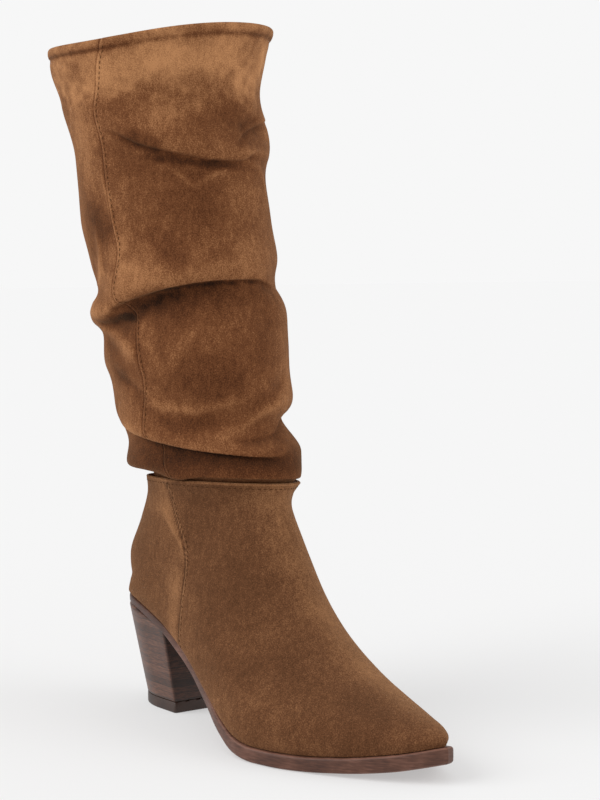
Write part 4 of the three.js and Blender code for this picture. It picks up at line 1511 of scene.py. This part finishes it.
        # Under the tuck at the ankle the inside lies 1 mm deeper.
        deep = self.hollow(out) - SHAFT_WALL - (1 - smooth(134, 142, height))
        keep = np.arange(2, len(height) - 1, 4)[::-1]
        inside = self.surface(turn[keep], height[keep], deep[keep], rise[keep])
        rings = np.concatenate([outside, rolled, inside])
        piece = ring_mesh("shaft_suede", rings, Closing.JOINED)
        # Painted highlight on the collar's rolled-over rim.
        edge = np.full(rolled.shape[:2], 0.6)
        set_attribute(piece, "tone_light_and_shade", np.concatenate([tone_light_and_shade, edge, np.zeros(inside.shape[:2])]))
        finish_piece(piece, suede, "shaft", "shaft")
        line_inside(piece, lining, (len(height) + len(self.rim) - 1) * turn.shape[1])
        self.stitches(thread)

    def columns_along_seams(self, height: Array) -> Array:
        """Turns of the grid's columns, dense at both seams and bent to run along them.

        Args:
            height: Heights of the rows, as a column.

        Returns:
            Turns, rows by columns.
        """
        near = np.degrees(np.linspace(-3, 3, 23) / SHAFT_RADIUS)
        base = np.linspace(-180, 180, self.columns, endpoint=False)
        seams = (("outer", self.outer_seam), ("inner", self.inner_seam))
        for _, seam in seams:
            base = np.concatenate([base[np.abs(base - seam) > 4], near + seam])
        base = np.sort(base)[None, :]
        pull = [
            (SHAFT_SEAMS.read(side, height) - seam) * np.clip(1 - np.abs(base - seam) / 70, 0, 1)
            for side, seam in seams
        ]
        return base + pull[0] + pull[1]

    def hollow(self, out: Array) -> Array:
        """Least outward movement within 9 rows either way, so that the inside never shows.

        Args:
            out: Outward movement of the outside.

        Returns:
            Outward movement of the inside before its wall.
        """
        deep = out.copy()
        for step in range(1, 10):
            deep[step:] = np.minimum(deep[step:], out[:-step])
            deep[:-step] = np.minimum(deep[:-step], out[step:])
        return deep

    def stitches(self, thread: Material) -> None:
        """A row of stitches in front of each side seam.

        Args:
            thread: Material of the stitches.
        """
        height = np.linspace(ANKLE_HEIGHT + 2, self.sewn_top, 700)
        for side, sign in (("outer", 1), ("inner", -1)):
            turn = SHAFT_SEAMS.read(side, height) + sign * math.degrees(self.seam_sewn / SHAFT_RADIUS)
            line, beside = (self.surface(t, height, *self.slouch(t, height)[:2]) for t in (turn, turn + 1))
            out = unit(np.cross(beside - line, np.gradient(line, axis=0)))
            Stitches(f"shaft_stitches_{side}", 2.0, 0.42, 3.0).sew(line, out, thread, "shaft")


@dataclass(frozen=True)
class Studio:
    """Pale floor, soft light and the camera at the photograph's angle; position in metres."""

    position: tuple[float, float, float] = (0.90575, -0.56994, 0.24571)
    azimuth: float = 54.25
    pitch: float = -4.01
    roll: float = -0.37
    lens: float = 85.857
    floor_half_mm: float = 20000
    floor_drop_mm: float = 0.125

    def build(self) -> None:
        """Set the camera, floor and lights."""
        self.camera()
        self.floor()
        self.lights()

    def camera(self) -> None:
        """Look back along the azimuth, tip by the pitch, then roll."""
        data = bpy.data.cameras.new("camera")
        data.lens = self.lens
        data.sensor_width = 36
        data.clip_end = 60
        camera = bpy.data.objects.new("camera", data)
        bpy.context.scene.collection.objects.link(camera)
        pose = Matrix.Translation(self.position)
        for angle, axis in ((self.azimuth, "Z"), (90 + self.pitch, "X"), (self.roll, "Z")):
            pose = pose @ Matrix.Rotation(math.radians(angle), 4, axis)
        camera.matrix_world = pose
        bpy.context.scene.camera = camera

    def floor(self) -> None:
        """A wide pale sheet just under the boot."""
        corners = np.array([(-1, -1, 0), (1, -1, 0), (1, 1, 0), (-1, 1, 0)]) * self.floor_half_mm
        floor = add_mesh("floor", corners - np.array([0, 0, self.floor_drop_mm]), [[0, 1, 2, 3]])
        floor.data.materials.append(Paper("pale_paper_floor").build())

    def lights(self) -> None:
        """Pale surroundings, a broad soft key from the upper left and a soft light from the right."""
        world = bpy.data.worlds.new("studio")
        world.use_nodes = True
        tree = world.node_tree
        back = tree.nodes["Background"]
        back.inputs["Color"].default_value = linear(PAPER)
        seen = add_node(tree, "LightPath", output="Is Camera Ray")
        tree.links.new(weigh(tree, 0.75, (seen, 0.25)), back.inputs["Strength"])
        bpy.context.scene.world = world
        self.sun("key", (-0.35, -1.0, 0.75), 1.55, 50)
        self.sun("side", (1.0, 0.75, 0.7), 0.75, 50)
        bpy.context.scene.view_settings.view_transform = "Standard"

    def sun(self, name: str, toward: tuple[float, float, float], strength: float, spread: float) -> None:
        """Add a soft distant light.

        Args:
            name: Name of the light.
            toward: Direction from the boot to the light.
            strength: Its strength.
            spread: Its width in degrees.
        """
        data = bpy.data.lights.new(name, "SUN")
        data.energy = strength
        data.angle = math.radians(spread)
        light = bpy.data.objects.new(name, data)
        light.rotation_euler = (-Vector(toward)).to_track_quat("-Z", "Y").to_euler()
        bpy.context.scene.collection.objects.link(light)


def main() -> None:
    """Build the boot round its frame and set the studio."""
    logging.basicConfig(level=logging.INFO, format="%(name)s %(message)s")
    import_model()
    foot_suede = Suede("brushed_suede_foot", "#27160E", "#4A2E1A", "#603D26", "#A4754F", 0.26, 0.09).build()
    shaft_suede = Suede("brushed_suede_shaft", "#26140A", "#522E18", "#6F4428", "#BC865A", 0.22, 0.12).build()
    lining = PlainHide("pigskin_lining", "#8A6640", "#A07A52", 0.65).build()
    thread = PlainHide("waxed_brown_thread", "#3A2312", "#4A2E18", 0.8, 0.5, 0.05).build()
    SoleUnit().build()
    Foot().build(foot_suede, lining, thread)
    Shaft().build(shaft_suede, lining, thread)
    Studio().build()


if __name__ == "__main__":
    main()
